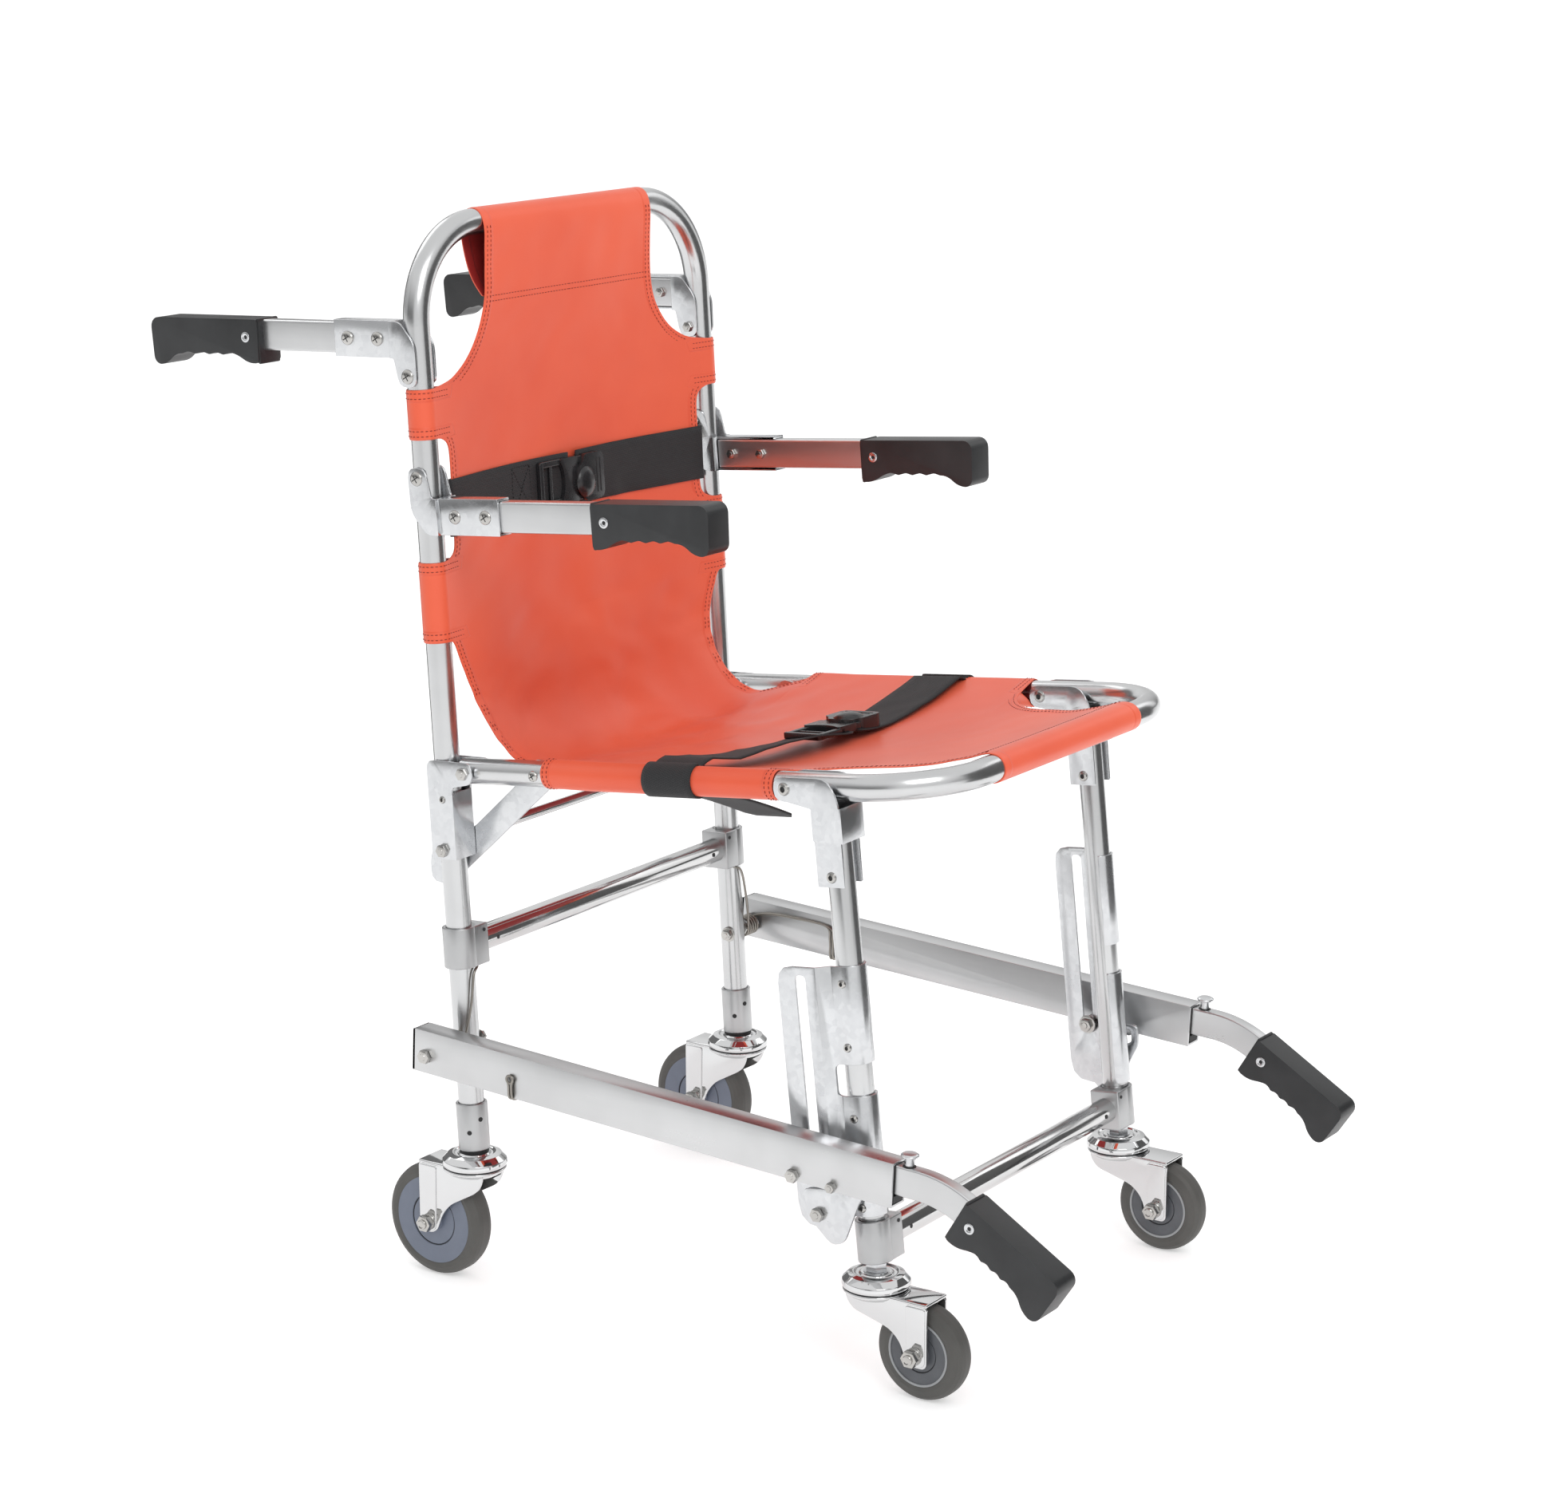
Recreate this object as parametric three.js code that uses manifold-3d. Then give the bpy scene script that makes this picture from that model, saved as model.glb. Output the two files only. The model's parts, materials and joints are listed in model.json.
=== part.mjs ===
// Four-wheel folding stair chair: a leaning back tube frame with rear legs, a seat frame that
// folds up against it, hanging front legs, side beams with pull-out handles, four folding
// carrying handles, a fabric sling and two belts.
// Units are millimetres. +Z is up, the chair faces -Y and +X is the sitter's left.
import * as THREE from 'three';
import { mergeVertices } from 'three/addons/utils/BufferGeometryUtils.js';
import Module from 'manifold-3d';

const wasm = await Module();
wasm.setup();

// ---------------------------------------------------------------- driving dimensions
const HALF_TRACK = 198; // side tubes, from the middle of the chair
const TUBE_R = 11;
const FIT = 0.3; // clearance between touching pieces
const SHEET = 2; // pressed steel thickness
const BOX_MIDDLE_Y = 9.7; // middle of the whole chair's length in the design frame

const BACK_FOOT_Y = 146.2; // back tube axis at floor level
const BACK_LEAN = 3.3; // degrees, top to the rear
const BACK_TOP = 904.5; // top bar, along the leaning tube
const BACK_BEND_R = 80;
const REAR_CROSS_AT = 300; // rear crossbar, along the leaning tube

const SEAT_PIVOT = { y: 145, z: 455 };
const SEAT_RISE = 5.7; // degrees, front higher
const SEAT_LENGTH = 455.7; // pivot to the front bar
const SEAT_BEND_R = 75;
const SEAT_REAR_END = 9; // tube behind the pivot

const LEG_FOOT_Y = -268.4; // front leg axis at floor level
const LEG_LEAN = 6.05; // degrees, top to the rear
const LEG_HINGE = 326.6; // front leg hinge, in front of the seat pivot
const LEG_OFFSET = 36.6; // leg axis in front of its hinge
const FRONT_CLAMP_AT = 125; // middle of the front clamp, along the leg

const BEAM_PIVOT = { y: 159, z: 217 };
const BEAM_DROP = 3.06; // degrees, front lower
const BEAM_X = 243;
const BEAM_W = 20;
const BEAM_BOTTOM = -15;
const BEAM_TOP = 22;
const BEAM_REAR = 12;
const BEAM_FRONT = -466;

const REAR_WHEEL_R = 50.3;
const FRONT_WHEEL_R = 40.3;
const REAR_TRAIL = 39;
const FRONT_TRAIL = 46;

const REAR_HANDLE = { y: 193.4, z: 784, tilt: -2.5, above: 30, gripAt: 162, gripEnd: 283.5 };
const ARMREST = { y: 187, z: 700, tilt: -4.6, above: -32, gripAt: 178, gripEnd: 294 };

// ---------------------------------------------------------------- finishes
const FINISH = {
  satin: { color: 0xc9cbcd, roughness: 0.34, metalness: 1 },
  polished: { color: 0xd4d5d6, roughness: 0.14, metalness: 1 },
  zinc: { color: 0xcfd2d4, roughness: 0.24, metalness: 1 },
  casting: { color: 0xb4b6b8, roughness: 0.42, metalness: 1 },
  black: { color: 0x17181a, roughness: 0.5, metalness: 0 },
  webbing: { color: 0x15161a, roughness: 0.9, metalness: 0 },
  sling: { color: 0xe2593f, roughness: 0.45, metalness: 0 },
  wheel: { color: 0x74797d, roughness: 0.6, metalness: 0 },
};

const radians = THREE.MathUtils.degToRad;

// ---------------------------------------------------------------- solid helpers
function toSolid(geometry) {
  const plain = geometry.index ? geometry.toNonIndexed() : geometry.clone();
  plain.deleteAttribute('normal');
  plain.deleteAttribute('uv');
  const merged = mergeVertices(plain, 1e-4);
  return new wasm.Manifold(new wasm.Mesh({
    numProp: 3,
    vertProperties: new Float32Array(merged.attributes.position.array),
    triVerts: new Uint32Array(merged.index.array),
  }));
}

function toGeometry(solid) {
  const mesh = solid.getMesh();
  const geometry = new THREE.BufferGeometry();
  geometry.setAttribute('position', new THREE.BufferAttribute(new Float32Array(mesh.vertProperties), 3));
  geometry.setIndex(new THREE.BufferAttribute(new Uint32Array(mesh.triVerts), 1));
  return geometry;
}

function join(...shapes) {
  return toGeometry(shapes.map(toSolid).reduce((whole, piece) => whole.add(piece)));
}

function cut(body, ...tools) {
  return toGeometry(tools.map(toSolid).reduce((whole, tool) => whole.subtract(tool), toSolid(body)));
}

function common(a, b) {
  return toGeometry(toSolid(a).intersect(toSolid(b)));
}

function box(x0, x1, y0, y1, z0, z1) {
  const geometry = new THREE.BoxGeometry(x1 - x0, y1 - y0, z1 - z0);
  return geometry.translate((x0 + x1) / 2, (y0 + y1) / 2, (z0 + z1) / 2);
}

// A round bar along X, Y or Z from one coordinate to another, centred on the other two.
function bar(axis, from, to, radius, sides = 16, a = 0, b = 0) {
  const geometry = new THREE.CylinderGeometry(radius, radius, to - from, sides);
  const middle = (from + to) / 2;
  if (axis === 'x') return geometry.rotateZ(Math.PI / 2).translate(middle, a, b);
  if (axis === 'y') return geometry.translate(a, middle, b);
  return geometry.rotateX(Math.PI / 2).translate(a, b, middle);
}

// A turned solid about the Z axis from [radius, height] points.
function turned(profile, sides = 20) {
  const points = profile.map(([r, z]) => new THREE.Vector2(r, z));
  return new THREE.LatheGeometry(points, sides).rotateX(Math.PI / 2);
}

// A closed outline from [a, b, corner radius] points.
function outline(points, Kind = THREE.Shape) {
  const shape = new Kind();
  const count = points.length;
  points.forEach(([a, b, radius = 0], i) => {
    const corner = new THREE.Vector2(a, b);
    const before = new THREE.Vector2(...points[(i + count - 1) % count]);
    const after = new THREE.Vector2(...points[(i + 1) % count]);
    const back = before.sub(corner).setLength(radius);
    const on = after.sub(corner).setLength(radius);
    const start = corner.clone().add(back);
    const end = corner.clone().add(on);
    if (i === 0) shape.moveTo(start.x, start.y);
    else shape.lineTo(start.x, start.y);
    if (radius > 0) shape.quadraticCurveTo(a, b, end.x, end.y);
  });
  shape.closePath();
  return shape;
}

// A flat plate that stands in the YZ plane between two X positions.
function sidePlate(shape, x0, x1, curveSegments = 3) {
  const geometry = new THREE.ExtrudeGeometry(shape, {
    depth: Math.abs(x1 - x0), bevelEnabled: false, curveSegments,
  });
  const basis = new THREE.Matrix4().makeBasis(
    new THREE.Vector3(0, 1, 0), new THREE.Vector3(0, 0, 1), new THREE.Vector3(1, 0, 0));
  return geometry.applyMatrix4(basis).translate(Math.min(x0, x1), 0, 0);
}

// A route through given points, sampled exactly at them.
class PointRoute extends THREE.Curve {
  constructor(points) {
    super();
    this.points = points;
  }

  getPoint(t) {
    const at = Math.min(t, 1) * (this.points.length - 1);
    const low = Math.min(Math.floor(at + 1e-9), this.points.length - 2);
    return this.points[low].clone().lerp(this.points[low + 1], at - low);
  }

  getPointAt(t) {
    return this.getPoint(t);
  }

  getTangentAt(t) {
    const at = Math.round(t * (this.points.length - 1));
    const before = this.points[Math.max(at - 1, 0)];
    const after = this.points[Math.min(at + 1, this.points.length - 1)];
    return after.clone().sub(before).normalize();
  }
}

// Rounds the corners of a polyline with arcs of one radius.
function rounded(corners, radius, steps) {
  const points = [corners[0]];
  for (let i = 1; i < corners.length - 1; i += 1) {
    const back = corners[i - 1].clone().sub(corners[i]).normalize();
    const on = corners[i + 1].clone().sub(corners[i]).normalize();
    const half = back.angleTo(on) / 2;
    const reach = radius / Math.tan(half);
    const centre = corners[i].clone().add(back.clone().add(on).setLength(radius / Math.sin(half)));
    const start = corners[i].clone().addScaledVector(back, reach).sub(centre);
    const turn = new THREE.Vector3().crossVectors(on, back).normalize();
    for (let k = 0; k <= steps; k += 1) {
      const angle = (Math.PI - 2 * half) * (k / steps);
      points.push(start.clone().applyAxisAngle(turn, angle).add(centre));
    }
  }
  points.push(corners[corners.length - 1]);
  return points;
}

function sweep(section, points) {
  return new THREE.ExtrudeGeometry(section, {
    steps: points.length - 1, extrudePath: new PointRoute(points), curveSegments: 7,
  });
}

function disc(radius) {
  return new THREE.Shape().absarc(0, 0, radius, 0, Math.PI * 2, false);
}

const at = (x, y, z) => new THREE.Vector3(x, y, z);

// ---------------------------------------------------------------- scene helpers
const chair = new THREE.Group();
chair.position.y = -BOX_MIDDLE_Y;

function frameAt(y, z, degrees, parent = chair) {
  const group = new THREE.Group();
  group.position.set(0, y, z);
  group.rotation.x = radians(degrees);
  parent.add(group);
  return group;
}

function addPiece(parent, name, geometry, finish) {
  const mesh = new THREE.Mesh(geometry, new THREE.MeshStandardMaterial(FINISH[finish]));
  mesh.name = name;
  parent.add(mesh);
  return mesh;
}

const back = frameAt(BACK_FOOT_Y, 0, -BACK_LEAN);
const seat = frameAt(SEAT_PIVOT.y, SEAT_PIVOT.z, -SEAT_RISE);
const legs = frameAt(LEG_FOOT_Y, 0, -LEG_LEAN);
const beams = frameAt(BEAM_PIVOT.y, BEAM_PIVOT.z, BEAM_DROP);
const SIDES = [{ name: 'right', sign: -1 }, { name: 'left', sign: 1 }];

// ---------------------------------------------------------------- tubes
const SLEEVE_TOP = 172;

function backFrame() {
  const corners = [
    at(-HALF_TRACK, 0, 150 + FIT), at(-HALF_TRACK, 0, BACK_TOP),
    at(HALF_TRACK, 0, BACK_TOP), at(HALF_TRACK, 0, 150 + FIT)];
  return sweep(disc(TUBE_R), rounded(corners, BACK_BEND_R, 6));
}

function seatFrame() {
  const corners = [
    at(-HALF_TRACK, SEAT_REAR_END, 0), at(-HALF_TRACK, -SEAT_LENGTH, 0),
    at(HALF_TRACK, -SEAT_LENGTH, 0), at(HALF_TRACK, SEAT_REAR_END, 0)];
  return sweep(disc(TUBE_R), rounded(corners, SEAT_BEND_R, 6));
}

const CLAMP_R = 14.5;
const CLAMP_HALF = 17.5;
const CLAMP_REACH = 21; // block from the tube axis towards the middle
const CROSSBAR_END = HALF_TRACK - TUBE_R - 1.2;

// A cast tee: a barrel round the upright and a block that takes the crossbar.
function teeClamp(sign, along, boreFrom) {
  const x = sign * HALF_TRACK;
  const inward = -sign;
  const blockEnds = [x, x + inward * CLAMP_REACH].sort((p, q) => p - q);
  const block = box(...blockEnds, -CLAMP_R + 0.5, CLAMP_R - 0.5, along - CLAMP_HALF, along + CLAMP_HALF);
  const barrel = bar('z', along - CLAMP_HALF, along + CLAMP_HALF, CLAMP_R, 20, x, 0);
  const upright = bar('z', boreFrom, along + 30, TUBE_R + FIT, 16, x, 0);
  const boreEnds = [sign * (CROSSBAR_END + 0.6), sign * (HALF_TRACK - CLAMP_REACH - 5)];
  boreEnds.sort((p, q) => p - q);
  return cut(join(barrel, block), upright, bar('x', ...boreEnds, TUBE_R + FIT, 16, 0, along));
}

// ---------------------------------------------------------------- casters
const STEM_R = 5;
const NUT_R = 8.5;
const RACE_R = 25;
const FORK_IN = 13.2;
const FORK_OUT = 15.7;

function stemAndNut(x, y, crown, top) {
  const stem = bar('z', crown - 12, top, STEM_R, 12, x, y);
  return join(stem, bar('z', crown + FIT, top, NUT_R, 6, x, y));
}

// The swivel fork: a domed race, a crown plate, two cheeks and the axle between them.
function casterFork(x, y, wheelR, trail) {
  const crown = 2 * wheelR + 2.2;
  const dome = turned([
    [STEM_R + 0.6, 0], [RACE_R - 2, 0], [RACE_R, 3], [RACE_R - 0.6, 8], [RACE_R - 5, 13],
    [RACE_R - 12, 15.5], [STEM_R + 0.6, 14.5], [STEM_R + 0.6, 0]]);
  const plate = box(-FORK_OUT, FORK_OUT, -16, 16, 0, 2.6);
  const hole = bar('z', -4, 6, STEM_R + 0.6, 12);
  const cheek = outline([
    [-21, 2.6, 3], [21, 2.6, 3], [trail + 12, wheelR - crown + 10, 8], [trail + 9, wheelR - crown - 11, 8],
    [trail - 11, wheelR - crown - 11, 8], [-19, -16, 10]]);
  const cheeks = [-1, 1].map((s) => sidePlate(cheek, s * FORK_IN, s * FORK_OUT));
  const axle = bar('x', -FORK_OUT - 4, FORK_OUT + 4, 4, 12, trail, wheelR - crown);
  const fork = join(dome, cut(plate, hole), ...cheeks, axle);
  return fork.translate(x, y, crown);
}

function casterWheel(x, y, wheelR, halfWidth) {
  const half = [
    [4.3, halfWidth + 0.6], [9, halfWidth + 0.6], [11, halfWidth - 3], [wheelR - 13, halfWidth - 3],
    [wheelR - 10, halfWidth - 0.5], [wheelR - 3.5, halfWidth - 1], [wheelR, halfWidth - 6]];
  const other = half.map(([r, h]) => [r, -h]).reverse();
  return turned([...half, ...other, half[0]].reverse(), 24).rotateY(Math.PI / 2).translate(x, y, wheelR);
}

const REAR_STEM_Y = BACK_FOOT_Y + Math.tan(radians(BACK_LEAN)) * 125;
const FRONT_STEM_Y = LEG_FOOT_Y + Math.tan(radians(LEG_LEAN)) * 105;

// Rear leg end sleeve: the tube drops into its cup, and the caster stem stands below it.
function rearSleeve(sign) {
  const cup = turned([
    [0, 130], [13.5, 130], [13.5, SLEEVE_TOP], [TUBE_R + FIT, SLEEVE_TOP], [TUBE_R + FIT, 150], [0, 150]]);
  cup.rotateX(radians(-BACK_LEAN)).translate(sign * HALF_TRACK, BACK_FOOT_Y, 0);
  return join(cup, stemAndNut(sign * HALF_TRACK, REAR_STEM_Y, 2 * REAR_WHEEL_R + 17, 134));
}

function frontClamp(sign) {
  const clamp = teeClamp(sign, FRONT_CLAMP_AT, FRONT_CLAMP_AT - CLAMP_HALF + 3);
  clamp.rotateX(radians(-LEG_LEAN)).translate(0, LEG_FOOT_Y, 0);
  return join(clamp, stemAndNut(sign * HALF_TRACK, FRONT_STEM_Y, 2 * FRONT_WHEEL_R + 17, 108.5));
}

// ---------------------------------------------------------------- back corner bracket and lock
const EAR_IN = TUBE_R + 0.4;
const EAR_OUT = EAR_IN + SHEET;

function twoSides(shape, x, inner, outer) {
  return [-1, 1].map((s) => sidePlate(shape, x + s * inner, x + s * outer));
}

// Two plates on the back tube, joined in front of it, with arms that hold the seat pivot.
function cornerBracket(sign) {
  const x = sign * HALF_TRACK;
  const pivot = { y: -27.4, z: 454.2 };
  const plate = outline([
    [12, 378.5, 3], [12, 463.5, 8], [pivot.y - 6, 463.5, 4], [pivot.y - 10, pivot.z, 6],
    [pivot.y - 6, 445, 4], [-13.4, 441, 4], [-13.4, 378.5]]);
  const web = box(x - EAR_OUT, x + EAR_OUT, -13.4, -EAR_IN, 378.5, 436);
  return join(...twoSides(plate, x, EAR_IN, EAR_OUT), web);
}

const BRACE_IN = 181.8;
const BRACE_OUT = 184.2;
const LOCK_ROD = { y: 122, z: 411 };

function lockBrace(sign) {
  const shape = outline([
    [205, 372, 8], [205, 346, 12], [184, 348, 6], [167.6, 361.6, 4], [75, 446.4, 4], [68, 466, 8],
    [90, 471, 8], [112.8, 442.6, 4], [161, 398, 10], [190, 390, 10]]);
  return sidePlate(shape, sign * BRACE_IN, sign * BRACE_OUT);
}

// ---------------------------------------------------------------- seat front bracket and front leg
const HINGE_IN = TUBE_R + 3;
const HINGE_OUT = HINGE_IN + SHEET;
const LEG_Y = -LEG_HINGE - LEG_OFFSET; // leg axis in the seat's frame

function seatBracket(sign) {
  const x = sign * HALF_TRACK;
  const plate = outline([
    [-LEG_HINGE + 10, 9.5, 9], [LEG_Y - 4, 9.5, 9], [LEG_Y - 13, -8, 9], [LEG_Y - 13, -42, 1],
    [LEG_Y + 13, -42, 3], [LEG_Y + 13, -10.5, 2], [-LEG_HINGE + 10, -10, 9]]);
  const flange = box(x - HINGE_OUT, x + HINGE_OUT, LEG_Y - 15, LEG_Y - 13, -42, -14);
  const lip = [-1, 1].map((s) => sidePlate(
    outline([[LEG_Y - 15, -42], [LEG_Y - 12, -42], [LEG_Y - 12, -14], [LEG_Y - 15, -14]]),
    x + s * HINGE_IN, x + s * HINGE_OUT));
  return join(...twoSides(plate, x, HINGE_IN, HINGE_OUT), flange, ...lip);
}

// The leg's top channel, open to the front, with ears up to the hinge on the seat tube.
function legChannel(sign) {
  const x = sign * HALF_TRACK;
  const plate = outline([
    [-LEG_HINGE + 9, 8.5, 8], [-LEG_HINGE - 14, 8.5, 8], [LEG_Y - 11.5, -14, 2], [LEG_Y - 11.5, -78, 1],
    [LEG_Y + 13.4, -78, 1], [LEG_Y + 13.4, -16, 3], [-LEG_HINGE + 9, -9, 8]]);
  const web = box(x - EAR_OUT, x + EAR_OUT, LEG_Y + EAR_IN, LEG_Y + 13.4, -78, -14);
  const channel = join(...twoSides(plate, x, EAR_IN, EAR_OUT), web);
  return channel.rotateX(radians(-SEAT_RISE)).translate(0, SEAT_PIVOT.y, SEAT_PIVOT.z);
}

const LEG_TOP = 470;
const PLATE_OUT = 19.5; // slotted plate, outside the leg axis
const SLOT_Y = 34;
const SLOT_LOW = 191;
const SLOT_HIGH = 341;
const SLOT_HALF = 5;

// A pressed sheet that wraps the leg in two places and carries the slot behind it.
function slotPlate(sign) {
  const strip = new THREE.Shape();
  const wrapIn = EAR_IN;
  const wrapOut = EAR_OUT;
  strip.moveTo(PLATE_OUT + SHEET, 56);
  strip.lineTo(PLATE_OUT + SHEET, 19.2);
  strip.lineTo(wrapOut, 9.2);
  strip.lineTo(wrapOut, 0);
  strip.absarc(0, 0, wrapOut, 0, radians(-150), true);
  strip.lineTo(wrapIn * Math.cos(radians(-150)), wrapIn * Math.sin(radians(-150)));
  strip.absarc(0, 0, wrapIn, radians(-150), 0, false);
  strip.lineTo(wrapIn, 10);
  strip.lineTo(PLATE_OUT, 20);
  strip.lineTo(PLATE_OUT, 56);
  const pressed = new THREE.ExtrudeGeometry(strip, { depth: 216, bevelEnabled: false, curveSegments: 6 });
  pressed.translate(0, 0, 137);
  const side = outline([
    [55.5, 352, 14], [55.5, 137, 20], [22, 137, 10], [14, 147, 1], [-15, 147, 1], [-15, 246, 3],
    [12, 246, 4], [12, 272, 4], [-15, 272, 3], [-15, 352, 1]]);
  const ends = 0.8;
  side.holes.push(outline([
    [SLOT_Y - SLOT_HALF, SLOT_LOW - SLOT_HALF * ends, 4], [SLOT_Y + SLOT_HALF, SLOT_LOW - SLOT_HALF * ends, 4],
    [SLOT_Y + SLOT_HALF, SLOT_HIGH + SLOT_HALF * ends, 4], [SLOT_Y - SLOT_HALF, SLOT_HIGH + SLOT_HALF * ends, 4],
  ], THREE.Path));
  const plate = common(pressed, sidePlate(side, -30, 30));
  if (sign < 0) plate.scale(-1, 1, 1).index.array.reverse();
  return plate.translate(sign * HALF_TRACK, 0, 0);
}

const LATCH_IN = HALF_TRACK + 22.5;
const LATCH_OUT = LATCH_IN + 2.5;
const LATCH_PIN = { y: -411.4, z: -11 };
const SLOT_BOLT = { y: -374.6, z: -10.5 };

function latch(sign) {
  const shape = outline([
    [47, 170, 4], [46, 148, 10], [24, 124, 7], [12, 128, 5], [-4, 160, 3], [-13, 174, 4], [-13, 191, 5],
    [5, 193, 2], [5, 188, 1], [-6.5, 187, 2], [-6.5, 176, 3], [6, 172, 3]]);
  return sidePlate(shape, sign * LATCH_IN, sign * LATCH_OUT);
}

// ---------------------------------------------------------------- side beams and pull-out handles
const BEAM_IN = BEAM_X - BEAM_W / 2;
const WALL = 2;
const BAR_TOP = BEAM_TOP - WALL - 0.4;
const BAR_H = 24.5;
const BAR_HALF_T = 6;
const BUTTON_Y = -475;

function sideBeam(sign) {
  const x0 = sign * BEAM_X - BEAM_W / 2;
  const x1 = sign * BEAM_X + BEAM_W / 2;
  const body = box(x0, x1, BEAM_FRONT, BEAM_REAR, BEAM_BOTTOM, BEAM_TOP);
  const hollow = box(x0 + WALL, x1 - WALL, BEAM_FRONT - 5, BEAM_REAR - 3, BEAM_BOTTOM + WALL, BEAM_TOP - WALL);
  const wall = sign * (BEAM_IN + 1);
  const reach = (x) => [wall, sign * x].sort((p, q) => p - q);
  const spacer = bar('x', ...reach(HALF_TRACK + TUBE_R + 0.6), 6, 12, 0, 0);
  const boss = bar('x', ...reach(HALF_TRACK + 22), 6.5, 12, SLOT_BOLT.y, SLOT_BOLT.z);
  const pin = bar('x', ...reach(LATCH_OUT + 0.5), 4, 10, LATCH_PIN.y, LATCH_PIN.z);
  return join(cut(body, hollow), spacer, boss, pin);
}

const BEND_START = -486;
const BEND_R = 104;
const BEND_DEGREES = 28;

// The flat bar slides in the beam, then curves down to its grip.
function handleBar(sign) {
  const middle = BAR_TOP - BAR_H / 2;
  const points = [at(0, -240, middle), at(0, BEND_START, middle)];
  const steps = 6;
  for (let i = 1; i <= steps; i += 1) {
    const turn = radians((BEND_DEGREES * i) / steps);
    const r = BEND_R - BAR_H / 2;
    points.push(at(0, BEND_START - r * Math.sin(turn), middle - r * (1 - Math.cos(turn))));
  }
  const end = radians(BEND_DEGREES);
  const last = points[points.length - 1];
  points.push(last.clone().add(at(0, -60 * Math.cos(end), -60 * Math.sin(end))));
  const section = outline([
    [-BAR_H / 2, -BAR_HALF_T], [BAR_H / 2, -BAR_HALF_T], [BAR_H / 2, BAR_HALF_T], [-BAR_H / 2, BAR_HALF_T]]);
  const whole = sweep(section, points).translate(sign * BEAM_X, 0, 0);
  return cut(whole, bar('z', BAR_TOP - 16, BAR_TOP + 5, 4.4, 12, sign * BEAM_X, BUTTON_Y));
}

function pushButton(sign) {
  const shape = turned([
    [0, -9], [4, -9], [4, 7.5], [7.5, 8.5], [7.5, 9.6], [6, 10.6], [0, 11]], 16);
  return shape.translate(sign * BEAM_X, BUTTON_Y, BAR_TOP);
}

// A hand grip: length runs along +Y from 0, the arm's axis is at Z 0, fingers are below.
function gripBody(length, halfThick, pocket) {
  const top = 13.5;
  const low = -27;
  const grooves = [[length - 16, low, 8], [length - 28, -17, 4]];
  const count = 4;
  const first = length - 34;
  const span = (first - 24) / count;
  for (let i = 0; i < count; i += 1) {
    grooves.push([first - span * i, -17.5, 1]);
    grooves.push([first - span * (i + 0.5), -15.2, 3]);
  }
  const shape = outline([
    [0, top, 2], [0, -24, 3], [12, -24, 3], [22, -17, 4], ...grooves.reverse(), [length, low, 8],
    [length, top, 6]]);
  const core = new THREE.ExtrudeGeometry(shape, {
    depth: halfThick * 2 - 5, bevelEnabled: true, bevelThickness: 2.5, bevelSize: 2, bevelOffset: -2,
    bevelSegments: 1, curveSegments: 2,
  });
  const basis = new THREE.Matrix4().makeBasis(
    new THREE.Vector3(0, 1, 0), new THREE.Vector3(0, 0, 1), new THREE.Vector3(1, 0, 0));
  core.applyMatrix4(basis).translate(-halfThick + 2.5, 0, 0);
  return cut(core, pocket);
}

function lowerGrip(sign) {
  const end = radians(BEND_DEGREES);
  const r = BEND_R - BAR_H / 2;
  const middle = BAR_TOP - BAR_H / 2;
  const pocket = box(-BAR_HALF_T - FIT, BAR_HALF_T + FIT, -5, 61, -BAR_H / 2 - FIT, BAR_H / 2 + FIT);
  const grip = gripBody(99, 14, pocket).rotateZ(Math.PI).rotateX(end);
  const y = BEND_START - r * Math.sin(end);
  const z = middle - r * (1 - Math.cos(end));
  return grip.translate(sign * BEAM_X, y, z);
}

// ---------------------------------------------------------------- folding handles
const ARM_HALF_T = 7;
const ARM_H = 26;

function mirroredRange(d, a, b) {
  return [d * a, d * b].sort((p, q) => p - q);
}

// Ears on the upright, a stop wall and a C channel that wraps the arm from outside.
function handleBracket(spec, d, outside) {
  const up = Math.sign(spec.above);
  const mid = spec.above;
  const half = ARM_H / 2 + FIT + SHEET;
  const ear = outline([
    [d * -9, up * -9, 8], [d * 9, up * -9, 8], [d * 14, mid - up * half, 2], [d * 18, mid - up * half],
    [d * 18, mid + up * half], [d * 6, mid + up * half, 6], [d * -9, mid - up * 4, 8]]);
  const wall = box(-EAR_OUT, EAR_OUT, ...mirroredRange(d, 16, 18), mid - half, mid + half);
  const webX = [outside * (ARM_HALF_T + FIT), outside * (ARM_HALF_T + FIT + SHEET)].sort((p, q) => p - q);
  const web = box(...webX, ...mirroredRange(d, 16, 80), mid - half, mid + half);
  const flangeX = [outside * -(ARM_HALF_T - 1), outside * (ARM_HALF_T + FIT + SHEET)].sort((p, q) => p - q);
  const flanges = [-1, 1].map((s) => {
    const z = [mid + s * (ARM_H / 2 + FIT), mid + s * half].sort((p, q) => p - q);
    return box(...flangeX, ...mirroredRange(d, 16, 80), ...z);
  });
  return join(...twoSides(ear, 0, EAR_IN, EAR_OUT), wall, web, ...flanges);
}

function handleArm(spec, d) {
  return box(
    -ARM_HALF_T, ARM_HALF_T, ...mirroredRange(d, 19, spec.gripAt + 52),
    spec.above - ARM_H / 2, spec.above + ARM_H / 2);
}

function handleGrip(spec, d) {
  const pocket = box(-ARM_HALF_T - FIT, ARM_HALF_T + FIT, -5, 53, -ARM_H / 2 - FIT, ARM_H / 2 + FIT);
  const grip = gripBody(spec.gripEnd - spec.gripAt, 14, pocket);
  if (d < 0) grip.rotateZ(Math.PI);
  return grip.translate(0, d * spec.gripAt, spec.above);
}

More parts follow.
